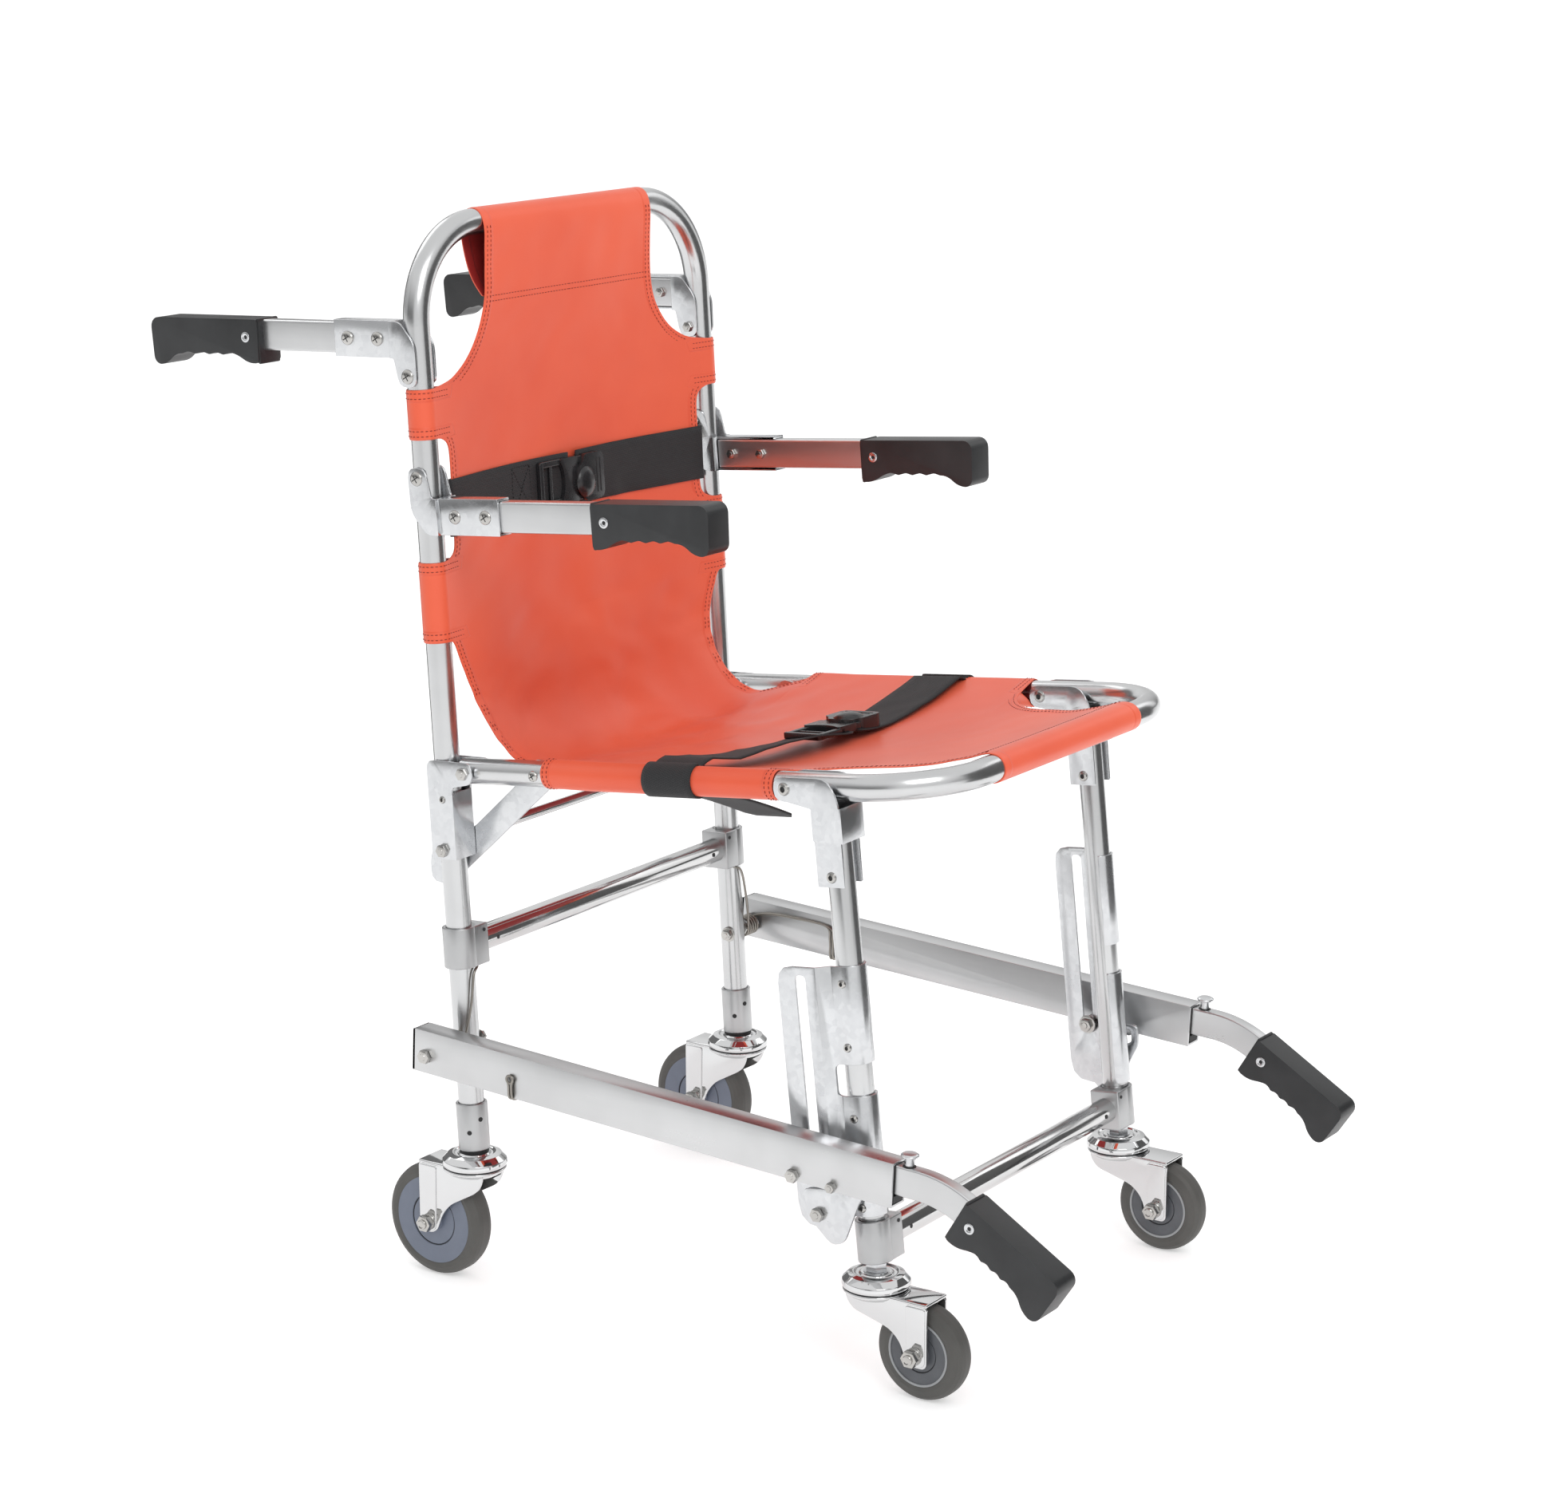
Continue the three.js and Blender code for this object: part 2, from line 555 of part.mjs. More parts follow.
function addHandle(label, spec, d, side) {
  const group = frameAt(spec.y, spec.z, spec.tilt);
  group.position.x = side.sign * HALF_TRACK;
  addPiece(group, `${label}_bracket_${side.name}`, handleBracket(spec, d, side.sign), 'zinc');
  addPiece(group, `${label}_arm_${side.name}`, handleArm(spec, d), 'satin');
  addPiece(group, `${label}_grip_${side.name}`, handleGrip(spec, d), 'black');
}

// ---------------------------------------------------------------- sling and belts
// A strip of cloth as a thin closed solid: its side profile, extruded across the chair.
function clothStrip(points, thick, halfWidth) {
  const curve = new THREE.SplineCurve(points.map(([y, z]) => new THREE.Vector2(y, z)));
  const steps = 10;
  const front = [];
  const rear = [];
  for (let i = 0; i <= steps; i += 1) {
    const point = curve.getPoint(i / steps);
    const tangent = curve.getTangent(i / steps);
    const normal = new THREE.Vector2(-tangent.y, tangent.x).multiplyScalar(thick / 2);
    front.push(point.clone().add(normal));
    rear.unshift(point.clone().sub(normal));
  }
  return sidePlate(new THREE.Shape([...front, ...rear]), -halfWidth, halfWidth);
}

const BELT_SPAN = 364;
const BELT_W = 50;
const BELT_T = 2;
const CLOTH = 3;
const CLOTH_HALF = 178;
const HEAD_HALF = 108; // cloth between the bends of the top bar and of the front bar

function slingBack() {
  const points = [[200, 886], [199, 800], [196, 700], [187, 600], [176, 520], [163, 470]];
  const whole = clothStrip(points, CLOTH, CLOTH_HALF);
  const side = (s) => box(...mirroredRange(s, HEAD_HALF, CLOTH_HALF + 5), 150, 250, 805, 900);
  return cut(whole, side(-1), side(1));
}

function slingSeat() {
  const points = [[135, 440], [95, 440], [0, 450], [-120, 463], [-220, 475], [-285, 485]];
  const whole = clothStrip(points, CLOTH, CLOTH_HALF);
  const side = (s) => box(...mirroredRange(s, HEAD_HALF, CLOTH_HALF + 5), -320, -215, 440, 520);
  return cut(whole, side(-1), side(1));
}

// A flat webbing or buckle block, centred at a place and leaned about X.
function block(x, y, z, width, thick, height, tilt) {
  return box(-width / 2, width / 2, -thick / 2, thick / 2, -height / 2, height / 2)
    .rotateX(radians(tilt)).translate(x, y, z);
}

// ---------------------------------------------------------------- assembly
addPiece(back, 'back_frame', backFrame(), 'satin');
addPiece(seat, 'seat_frame', seatFrame(), 'satin');
addPiece(back, 'rear_crossbar', bar('x', -CROSSBAR_END, CROSSBAR_END, TUBE_R, 16, 0, REAR_CROSS_AT), 'polished');
addPiece(legs, 'front_crossbar', bar('x', -CROSSBAR_END, CROSSBAR_END, TUBE_R, 16, 0, FRONT_CLAMP_AT), 'polished');
addPiece(chair, 'lock_rod', bar('x', -BRACE_IN + FIT, BRACE_IN - FIT, 4.5, 12, LOCK_ROD.y, LOCK_ROD.z), 'polished');

for (const side of SIDES) {
  const { name, sign } = side;
  const x = sign * HALF_TRACK;
  addPiece(back, `rear_clamp_${name}`, teeClamp(sign, REAR_CROSS_AT, REAR_CROSS_AT - 30), 'casting');
  addPiece(chair, `rear_leg_sleeve_${name}`, rearSleeve(sign), 'casting');
  addPiece(back, `corner_bracket_${name}`, cornerBracket(sign), 'zinc');
  addPiece(chair, `lock_brace_${name}`, lockBrace(sign), 'zinc');
  addPiece(seat, `seat_bracket_${name}`, seatBracket(sign), 'zinc');
  addPiece(chair, `leg_channel_${name}`, legChannel(sign), 'zinc');
  const legTube = bar('z', FRONT_CLAMP_AT - CLAMP_HALF + 3 + FIT, LEG_TOP, TUBE_R, 16, x, 0);
  addPiece(legs, `front_leg_${name}`, legTube, 'satin');
  addPiece(legs, `slot_plate_${name}`, slotPlate(sign), 'zinc');
  addPiece(legs, `latch_${name}`, latch(sign), 'zinc');
  addPiece(chair, `front_clamp_${name}`, frontClamp(sign), 'casting');
  addPiece(beams, `side_beam_${name}`, sideBeam(sign), 'satin');
  addPiece(beams, `handle_bar_${name}`, handleBar(sign), 'satin');
  addPiece(beams, `push_button_${name}`, pushButton(sign), 'zinc');
  addPiece(beams, `lower_grip_${name}`, lowerGrip(sign), 'black');
  addPiece(chair, `rear_fork_${name}`, casterFork(x, REAR_STEM_Y, REAR_WHEEL_R, REAR_TRAIL), 'polished');
  addPiece(chair, `rear_wheel_${name}`, casterWheel(x, REAR_STEM_Y + REAR_TRAIL, REAR_WHEEL_R, 12), 'wheel');
  addPiece(chair, `front_fork_${name}`, casterFork(x, FRONT_STEM_Y, FRONT_WHEEL_R, -FRONT_TRAIL), 'polished');
  addPiece(chair, `front_wheel_${name}`, casterWheel(x, FRONT_STEM_Y - FRONT_TRAIL, FRONT_WHEEL_R, 11), 'wheel');
  addHandle('rear_handle', REAR_HANDLE, 1, side);
  addHandle('armrest', ARMREST, -1, side);
}

addPiece(chair, 'sling_back', slingBack(), 'sling');
addPiece(chair, 'sling_seat', slingSeat(), 'sling');
addPiece(chair, 'chest_belt', block(0, 174, 672, BELT_SPAN, BELT_T, BELT_W, -BACK_LEAN), 'webbing');
addPiece(chair, 'chest_buckle', block(-3, 164, 672, 76, 16, 54, -BACK_LEAN), 'black');
addPiece(chair, 'lap_belt', block(0, -72, 478, BELT_SPAN, BELT_W, BELT_T, -SEAT_RISE), 'webbing');
addPiece(chair, 'lap_buckle', block(24, -71, 487.5, 76, 54, 16, -SEAT_RISE), 'black');

export default chair;
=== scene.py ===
"""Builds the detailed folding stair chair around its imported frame."""

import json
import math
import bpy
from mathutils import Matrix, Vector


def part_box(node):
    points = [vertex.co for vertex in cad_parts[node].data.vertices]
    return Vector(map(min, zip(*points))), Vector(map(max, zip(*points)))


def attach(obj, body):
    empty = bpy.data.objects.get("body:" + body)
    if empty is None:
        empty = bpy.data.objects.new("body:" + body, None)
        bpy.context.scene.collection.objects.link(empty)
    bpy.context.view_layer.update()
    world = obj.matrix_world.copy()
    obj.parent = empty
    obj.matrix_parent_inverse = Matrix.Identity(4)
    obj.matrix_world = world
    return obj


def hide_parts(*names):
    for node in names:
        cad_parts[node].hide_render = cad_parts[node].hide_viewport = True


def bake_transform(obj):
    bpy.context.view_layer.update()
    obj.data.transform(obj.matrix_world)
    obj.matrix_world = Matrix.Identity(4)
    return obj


bl_info = {
    "name": "Folding Stair Chair",
    "version": (1, 0, 0),
    "blender": (4, 5, 0),
    "location": "3D View > Sidebar > Stair Chair",
    "description": "Models a four-wheel stair chair with a cloth sling, belts, casters and handles",
    "category": "Object",
}

import bmesh
import bpy
from mathutils import Matrix, Vector, noise

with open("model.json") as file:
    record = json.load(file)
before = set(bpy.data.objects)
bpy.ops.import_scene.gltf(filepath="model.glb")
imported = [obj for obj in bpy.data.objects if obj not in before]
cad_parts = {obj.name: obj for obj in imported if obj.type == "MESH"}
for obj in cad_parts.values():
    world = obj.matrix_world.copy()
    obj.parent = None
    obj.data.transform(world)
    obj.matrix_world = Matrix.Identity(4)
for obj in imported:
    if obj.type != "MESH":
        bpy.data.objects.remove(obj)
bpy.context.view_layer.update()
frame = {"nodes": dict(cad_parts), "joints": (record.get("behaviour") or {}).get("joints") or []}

# ------------------------------------------------------------------ sizes, in millimetres
MM = 0.001
SIDES = {"right": -1, "left": 1}
HALF_TRACK = 198.0
TUBE_R = 11.0
BACK_LEAN = 3.3  # degrees
SEAT_RISE = 5.7
LEG_LEAN = 6.05
BEAM_DROP = 3.06
BACK_TOP = 904.5
BACK_END = 140.0  # lower ends of the back tube
BACK_BEND = 80.0
SEAT_BEND = 75.0
LEG_SPAN = (112.0, 470.0)
REAR_BAR_UP = 300.0  # the crossbars along the back tube and the front legs
FRONT_BAR_UP = 125.0
BAR_HALF = 186.0
BRACE_ROD_HALF = 183.5
SEAT_LENGTH = 455.7
BEAM_X = 243.0
SLOT_BOLT = (-374.6, -10.5)  # along and above a side beam's axis
LATCH_PIN = (-411.4, -11.0)
EAR_OUT = 13.4


# ------------------------------------------------------------------ places
def local(point, degrees, dz=0.0):
    """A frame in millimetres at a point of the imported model, turned about X."""
    turn = Matrix.Rotation(math.radians(degrees), 4, "X")
    return Matrix.Translation(point) @ turn @ Matrix.Scale(MM, 4) @ Matrix.Translation((0, 0, dz))


def middle(node):
    """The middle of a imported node's box, in metres."""
    low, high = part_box(node)
    return (low + high) / 2


def joint_point(name):
    """A joint's point, moved to the middle of the chair."""
    joint = next(j for j in frame["joints"] if j["name"] == name)
    return Vector((0, *joint["pos_m"][1:]))


def shift(x=0.0, y=0.0, z=0.0):
    return Matrix.Translation((x, y, z))


def turned_by(degrees, axis):
    return Matrix.Rotation(math.radians(degrees), 4, axis)


def facing(place, x, y, z, way):
    """A spot on a side face whose normal is along +X or -X."""
    return place @ shift(x, y, z) @ turned_by(90 * way, "Y")


BACK = local(middle("rear_crossbar"), -BACK_LEAN, -REAR_BAR_UP)
SEAT = local(joint_point("seat_fold"), -SEAT_RISE)
LEGS = local(middle("front_crossbar"), -LEG_LEAN, -FRONT_BAR_UP)
BEAMS = local(joint_point("beam_fold_right"), BEAM_DROP)
REAR_HANDLE = local(joint_point("rear_handle_fold_right"), -2.5)
ARMREST = local(joint_point("armrest_fold_right"), -4.6)
WORLD = Matrix.Scale(MM, 4)


# ------------------------------------------------------------------ shader expressions
class Signal:
    """A shader socket that takes part in Python arithmetic."""

    def __init__(self, finish, socket):
        self.finish = finish
        self.socket = socket

    def maths(self, operation, first, second=None):
        values = {0: first} if second is None else {0: first, 1: second}
        return self.finish.node("ShaderNodeMath", {"operation": operation}, values)

    def __add__(self, other):
        return self.maths("ADD", self, other)

    __radd__ = __add__

    def __sub__(self, other):
        return self.maths("SUBTRACT", self, other)

    def __rsub__(self, other):
        return self.maths("SUBTRACT", other, self)

    def __mul__(self, other):
        return self.maths("MULTIPLY", self, other)

    __rmul__ = __mul__

    def sine(self):
        return self.maths("SINE", self)

    def size(self):
        return self.maths("ABSOLUTE", self)

    def spread(self, low, high, to_low=0.0, to_high=1.0):
        """Maps low..high to another range, and stays inside it."""
        values = {"Value": self, "From Min": low, "From Max": high, "To Min": to_low, "To Max": to_high}
        return self.finish.node("ShaderNodeMapRange", {"clamp": True}, values)


class Finish:
    """A material whose nodes are written as expressions."""

    def __init__(self, name, colour, roughness, metallic=0.0, **constants):
        self.material = bpy.data.materials.new(name)
        self.material.use_nodes = True
        self.tree = self.material.node_tree
        self.shader = self.tree.nodes["Principled BSDF"]
        self.set("Base Color", (*colour, 1.0))
        self.set("Roughness", roughness)
        self.set("Metallic", metallic)
        for socket, value in constants.items():
            self.set(socket.replace("_", " "), value)
        self.material.diffuse_color = (*colour, 1.0)

    def set(self, socket, value):
        self.feed(self.shader.inputs[socket], value)

    def feed(self, socket, value):
        if isinstance(value, Signal):
            self.tree.links.new(value.socket, socket)
        else:
            socket.default_value = value

    def node(self, kind, settings=None, values=None, output=0):
        node = self.tree.nodes.new(kind)
        for key, value in (settings or {}).items():
            if key == "stops":
                while len(node.color_ramp.elements) < len(value):
                    node.color_ramp.elements.new(0.5)
                for element, (position, colour) in zip(node.color_ramp.elements, value):
                    element.position = position
                    element.color = (*colour, 1.0)
            else:
                setattr(node, key, value)
        for key, value in (values or {}).items():
            self.feed(node.inputs[key], value)
        return Signal(self, node.outputs[output])

    def place(self):
        return self.node("ShaderNodeTexCoord", output="Object")

    def stretched(self, scale):
        return self.node("ShaderNodeMapping", None, {"Vector": self.place(), "Scale": scale})

    def noise(self, scale, detail=2.0, vector=None, roughness=0.5):
        values = {"Vector": vector or self.place(), "Scale": scale, "Detail": detail, "Roughness": roughness}
        return self.node("ShaderNodeTexNoise", None, values)

    def attribute(self, name):
        return self.node("ShaderNodeAttribute", {"attribute_name": name}, output="Fac")

    def parts(self, vector):
        made = self.node("ShaderNodeSeparateXYZ", None, {0: vector})
        return [Signal(self, socket) for socket in made.socket.node.outputs]

    def mix(self, factor, first, second):
        first = first if isinstance(first, Signal) else (*first, 1.0)
        second = second if isinstance(second, Signal) else (*second, 1.0)
        settings = {"data_type": "RGBA"}
        return self.node("ShaderNodeMix", settings, {0: factor, 6: first, 7: second}, output=2)

    def bump(self, height, distance, strength=1.0):
        """Raises the surface by a height from 0 to 1 times a distance in metres."""
        values = {"Height": height, "Distance": distance, "Strength": strength}
        self.set("Normal", self.node("ShaderNodeBump", None, values))


def metal(name, colour, roughness, grain, scratch=0.06, bump=0.00002, dirt=0.08):
    """A bare metal with a directional grain: grain is the pattern's scale along X, Y and Z."""
    made = Finish(name, colour, roughness, 1.0)
    lines = made.noise(1.0, 3.0, made.stretched(grain), 0.6)
    clouds = made.noise(14.0, 3.0)
    marks = made.noise(160.0, 2.0)
    darker = tuple(c * (1 - dirt) for c in colour)
    made.set("Base Color", made.mix(clouds.spread(0.35, 0.7), colour, darker))
    made.set("Roughness", (lines - 0.5) * scratch + (clouds - 0.5) * 0.12 + (marks - 0.5) * 0.05 + roughness)
    made.bump(lines * 0.7 + marks * 0.3, bump, 0.5)
    return made


def zinc_plate():
    made = Finish("bright_zinc_plate", (0.80, 0.81, 0.82), 0.22, 1.0)
    grain = made.node("ShaderNodeTexVoronoi", None, {"Vector": made.place(), "Scale": 210.0}, output=1)
    clouds = made.noise(30.0, 4.0)
    tone = made.parts(grain)[0]
    made.set("Base Color", made.mix(clouds * 0.5 + tone * 0.25, (0.68, 0.69, 0.70), (0.50, 0.51, 0.53)))
    made.set("Roughness", clouds * 0.16 + tone * 0.05 + 0.13)
    made.bump(made.noise(420.0, 2.0), 0.00003, 0.35)
    return made


def black_rubber():
    made = Finish("black_grip", (0.014, 0.015, 0.016), 0.42, 0.0)
    fine = made.noise(1900.0, 2.0)
    clouds = made.noise(26.0, 3.0)
    made.set("Base Color", made.mix(clouds.spread(0.3, 0.75), (0.011, 0.012, 0.013), (0.026, 0.027, 0.029)))
    made.set("Roughness", clouds * 0.2 + fine * 0.08 + 0.3)
    made.bump(fine, 0.00006, 0.6)
    return made


def moulded(name, colour, roughness, tones, clouds, gloss, grain, bump):
    """Moulded rubber or plastic: gloss is (range, lowest), bump is (metres, strength)."""
    made = Finish(name, colour, roughness)
    cloud = made.noise(*clouds)
    made.set("Roughness", cloud * gloss[0] + gloss[1])
    made.set("Base Color", made.mix(cloud, *tones))
    made.bump(made.noise(*grain), *bump)
    return made


def black_plastic():
    tones = ((0.009, 0.009, 0.010), (0.022, 0.022, 0.024))
    return moulded("black_buckle_plastic", (0.012, 0.012, 0.013), 0.28, tones,
                   (60.0, 3.0), (0.16, 0.18), (900.0, 1.0), (0.00003, 0.3))


def webbing():
    """Flat woven tape: along and across are in metres, in the piece's own UV map."""
    made = Finish("black_webbing", (0.012, 0.012, 0.013), 0.8, 0.0, Sheen_Weight=0.06, Sheen_Roughness=0.4)
    along, across, _ = made.parts(made.node("ShaderNodeTexCoord", output="UV"))
    ribs = (across * 2600.0).sine().size()
    rows = ((along * 1700.0) + (across * 1300.0).sine() * 1.2).sine().size()
    cloud = made.noise(90.0, 3.0)
    weave = ribs * 0.55 + rows * 0.45
    made.set("Base Color", made.mix(weave * 0.75 + cloud * 0.25, (0.003, 0.003, 0.004), (0.026, 0.026, 0.028)))
    made.set("Roughness", 0.92 - weave * 0.22)
    made.bump(weave, 0.0004, 0.8)
    return made


def sling_cloth(name, colour, deep, roughness):
    """Coated cloth: fine grain, soft creases and a folded hem that shows along every edge, with a line of
    painted shade at the hem's inner step.
    """
    made = Finish(name, colour, roughness, 0.0,
                  Specular_IOR_Level=0.42, Sheen_Weight=0.08, Sheen_Roughness=0.45)
    edge = made.attribute("edge_mm")
    clouds = made.noise(7.0, 4.0)
    fine = made.noise(1500.0, 3.0)
    creases = made.noise(1.0, 3.0, made.stretched((15.0, 11.0, 9.0)), 0.5)
    hem = edge.spread(9.2, 10.6)
    # A thin dark line of painted shade where the raised hem steps down; the clouds give random tone.
    fold = (edge.spread(8.6, 9.6) - edge.spread(9.8, 10.8)) * 0.35
    cloud_tone_and_hem_shade = clouds.spread(0.32, 0.68) * 0.55 + fold
    made.set("Base Color", made.mix(cloud_tone_and_hem_shade, colour, deep))
    made.set("Roughness", clouds * 0.16 + fine * 0.06 + (roughness - 0.1))
    made.bump(fine * 0.04 + creases * 0.6 + (1.0 - hem) * 0.3, 0.0018, 0.6)
    return made


def tread_rubber():
    tones = ((0.055, 0.054, 0.050), (0.105, 0.102, 0.096))
    return moulded("grey_tread", (0.075, 0.073, 0.068), 0.62, tones,
                   (40.0, 4.0), (0.25, 0.45), (1100.0, 2.0), (0.00008, 0.5))


def hub_plastic(name, light, dark):
    return moulded(name, light, 0.4, (light, dark), (70.0, 3.0), (0.2, 0.28), (800.0, 2.0), (0.00005, 0.3))


def thread():
    made = Finish("stitch_thread", (0.20, 0.014, 0.010), 0.65, 0.0)
    made.set("Base Color", made.mix(made.noise(900.0, 1.0), (0.13, 0.009, 0.006), (0.26, 0.02, 0.014)))
    return made


SATIN = (0.60, 0.605, 0.61)


def make_finishes():
    """Every material of the chair, by a short name."""
    return {
        "satin": metal("satin_tube", SATIN, 0.23, (90, 90, 5), 0.08, 0.00001),
        "seat_satin": metal("satin_seat_tube", SATIN, 0.23, (90, 6, 90), 0.08, 0.00001),
        "polished": metal("polished_tube", (0.64, 0.64, 0.64), 0.12, (5, 120, 120), 0.06, 0.00001),
        "beam": metal("brushed_beam", SATIN, 0.32, (500, 7, 500), 0.16, 0.00003),
        "zinc": zinc_plate(),
        "cast": metal("bare_casting", (0.50, 0.505, 0.51), 0.34, (260, 260, 260), 0.14, 0.00005, 0.16),
        "chrome": metal("chrome_caster", (0.66, 0.665, 0.67), 0.07, (60, 60, 60), 0.04, 0.00001, 0.05),
        "bolt": metal("bolt_steel", (0.52, 0.51, 0.49), 0.2, (300, 300, 300), 0.12, 0.00004, 0.2),
        "wire": metal("spring_wire", (0.33, 0.31, 0.28), 0.3, (300, 300, 300), 0.12, 0.00003, 0.2),
        # Near black: painted shade in holes, slots, grooves and gaps, and the real black thread of the chest
        # strap's box stitch.
        "dark": Finish("painted_shade_and_black_thread", (0.010, 0.010, 0.011), 0.55),
        "rubber": black_rubber(),
        "plastic": black_plastic(),
        "webbing": webbing(),
        "sling": sling_cloth("orange_sling", (0.80, 0.122, 0.055), (0.68, 0.078, 0.033), 0.40),
        # The darker red underside is painted shade: a darker copy of the orange cloth for the face turned away
        # from the lamps.
        "shaded_underside": sling_cloth("red_sling_underside_painted_shade", (0.34, 0.018, 0.016), (0.25, 0.012, 0.012), 0.55),
        "thread": thread(),
        "tread": tread_rubber(),
        "hub": hub_plastic("blue_grey_hub", (0.165, 0.19, 0.245), (0.13, 0.15, 0.20)),
        "dark_hub": hub_plastic("grey_hub", (0.105, 0.112, 0.125), (0.075, 0.08, 0.09)),
        "ring": hub_plastic("light_ring", (0.33, 0.34, 0.35), (0.25, 0.26, 0.27)),
    }


FINISHES = {}


# ------------------------------------------------------------------ shapes, in millimetres
def of_kind(made, kind):
    """The new points or edges that an operator gives back."""
    return [item for item in made["geom"] if isinstance(item, kind)]


def bevel(shape, edges, width, segments=2):
    """Rounds edges."""
    bmesh.ops.bevel(shape, geom=edges, offset=width, offset_type="OFFSET", affect="EDGES",
                    segments=segments, profile=0.5, clamp_overlap=True, material=-1)


def sharp_edges(shape, degrees):
    limit = math.radians(degrees)
    return [e for e in shape.edges if len(e.link_faces) == 2 and e.calc_face_angle() > limit]


def bar_face(shape, points, place=Matrix()):
    """A flat face from (a, b, corner radius) points, in the XY plane of a place."""
    corners = {}
    verts = []
    for a, b, *radius in points:
        vert = shape.verts.new(place @ Vector((a, b, 0)))
        verts.append(vert)
        if radius and radius[0] > 0:
            corners.setdefault(radius[0], []).append(vert)
    shape.faces.new(verts)
    for radius, group in sorted(corners.items()):
        bmesh.ops.bevel(shape, geom=group, offset=radius, offset_type="OFFSET", affect="VERTICES",
                        segments=5, profile=0.5, material=-1)
    return list(shape.edges)


TINY = 1e-4
# Stands an outline of (y, z) points up across X.
YZ = Matrix(((0, 0, 1, 0), (1, 0, 0, 0), (0, 1, 0, 0), (0, 0, 0, 1)))


def plate(points, x0, x1, edge, segments=2):
    """A flat plate with a (y, z, corner radius) outline that stands between two X positions."""
    shape = bmesh.new()
    edges = bar_face(shape, points, shift(x0) @ YZ)
    made = bmesh.ops.extrude_edge_only(shape, edges=edges)
    bmesh.ops.translate(shape, vec=(x1 - x0, 0, 0), verts=of_kind(made, bmesh.types.BMVert))
    bmesh.ops.edgeloop_fill(shape, edges=of_kind(made, bmesh.types.BMEdge))
    bmesh.ops.recalc_face_normals(shape, faces=shape.faces)
    rims = [e for e in sharp_edges(shape, 60) if abs(e.verts[0].co.x - e.verts[1].co.x) < TINY]
    bevel(shape, rims, edge, segments)
    return shape


def block(size, centre, edge, segments=2):
    """A box with rounded edges."""
    shape = bmesh.new()
    bmesh.ops.create_cube(shape, size=1, matrix=shift(*centre) @ Matrix.Diagonal((*size, 1)))
    bevel(shape, list(shape.edges), edge, segments)
    return shape


def turned(profile, steps=48):
    """A turned shape about Z from (radius, height) points, closed or ending on the axis."""
    shape = bmesh.new()
    verts = [shape.verts.new((r, 0, z)) for r, z in profile]
    for pair in zip(verts, verts[1:]):
        shape.edges.new(pair)
    bmesh.ops.spin(shape, geom=shape.verts[:] + shape.edges[:], axis=(0, 0, 1), cent=(0, 0, 0),
                   angle=math.tau, steps=steps, use_merge=True)
    bmesh.ops.remove_doubles(shape, verts=shape.verts, dist=TINY)
    return shape


def soft_profile(points, radius=0.6, steps=3):
    """A (radius, height) profile with its inner corners rounded."""
    route = fillet([Vector((r, 0, z)) for r, z in points], radius, steps)
    return [(p.x, p.z) for p in route]


def fillet(corners, radius, steps=10):
    """Rounds the corners of a polyline with arcs."""
    route = [corners[0]]
    for before, corner, after in zip(corners, corners[1:], corners[2:]):
        back = (before - corner).normalized()
        on = (after - corner).normalized()
        half = back.angle(on) / 2
        if half > math.radians(88):
            route.append(corner)
            continue
        reach = min(radius / math.tan(half), (before - corner).length * 0.49, (after - corner).length * 0.49)
        r = reach * math.tan(half)
        centre = corner + (back + on).normalized() * r / math.sin(half)
        start = corner + back * reach - centre
        axis = on.cross(back)
        for k in range(steps + 1):
            angle = (math.pi - 2 * half) * k / steps
            route.append(centre + Matrix.Rotation(angle, 3, axis) @ start)
    route.append(corners[-1])
    return route


def rail(route, across):
    """Frames along a route: Z runs ahead and X stays near a given direction."""
    frames = []
    last = len(route) - 1
    for i, point in enumerate(route):
        ahead = (route[min(i + 1, last)] - route[max(i - 1, 0)]).normalized()
        side = (across - ahead * across.dot(ahead)).normalized()
        turn = Matrix((side, ahead.cross(side), ahead)).transposed().to_4x4()
        frames.append(Matrix.Translation(point) @ turn)
    return frames


def sweep(route, across, section=None, radius=1.0, sides=12, edge=0.0):
    """A bar along a route, round or with a (x, y, corner radius) section, closed at both ends."""
    frames = rail(route, across)
    shape = bmesh.new()
    if section:
        edges = bar_face(shape, section, frames[0])
        bmesh.ops.delete(shape, geom=list(shape.faces), context="FACES_ONLY")
    else:
        bmesh.ops.create_circle(shape, cap_ends=False, segments=sides, radius=radius, matrix=frames[0])
        edges = list(shape.edges)
    first = edges
    for here, there in zip(frames, frames[1:]):
        made = bmesh.ops.extrude_edge_only(shape, edges=edges)
        edges = of_kind(made, bmesh.types.BMEdge)
        verts = of_kind(made, bmesh.types.BMVert)
        bmesh.ops.transform(shape, matrix=there @ here.inverted(), verts=verts)
    bmesh.ops.edgeloop_fill(shape, edges=first)
    bmesh.ops.edgeloop_fill(shape, edges=edges)
    if edge:
        bmesh.ops.recalc_face_normals(shape, faces=shape.faces)
        bevel(shape, first + edges, edge)
    return shape


def rod(start, end, radius, sides=24, edge=0.3):
    """A straight round bar with softened ends."""
    start, end = Vector(start), Vector(end)
    across = Vector((0, 0, 1)) if abs((end - start).normalized().z) < 0.9 else Vector((1, 0, 0))
    return sweep([start, end], across, None, radius, sides, edge)


def hexagon(radius, height, edge=0.5):
    """A hex nut or bolt head that stands on the XY plane."""
    shape = bmesh.new()
    bmesh.ops.create_cone(shape, cap_ends=True, segments=6, radius1=radius, radius2=radius, depth=height,
                          matrix=shift(z=height / 2))
    rims = [e for e in shape.edges if abs(e.verts[0].co.z - e.verts[1].co.z) < TINY]
    bevel(shape, rims, edge)
    return shape


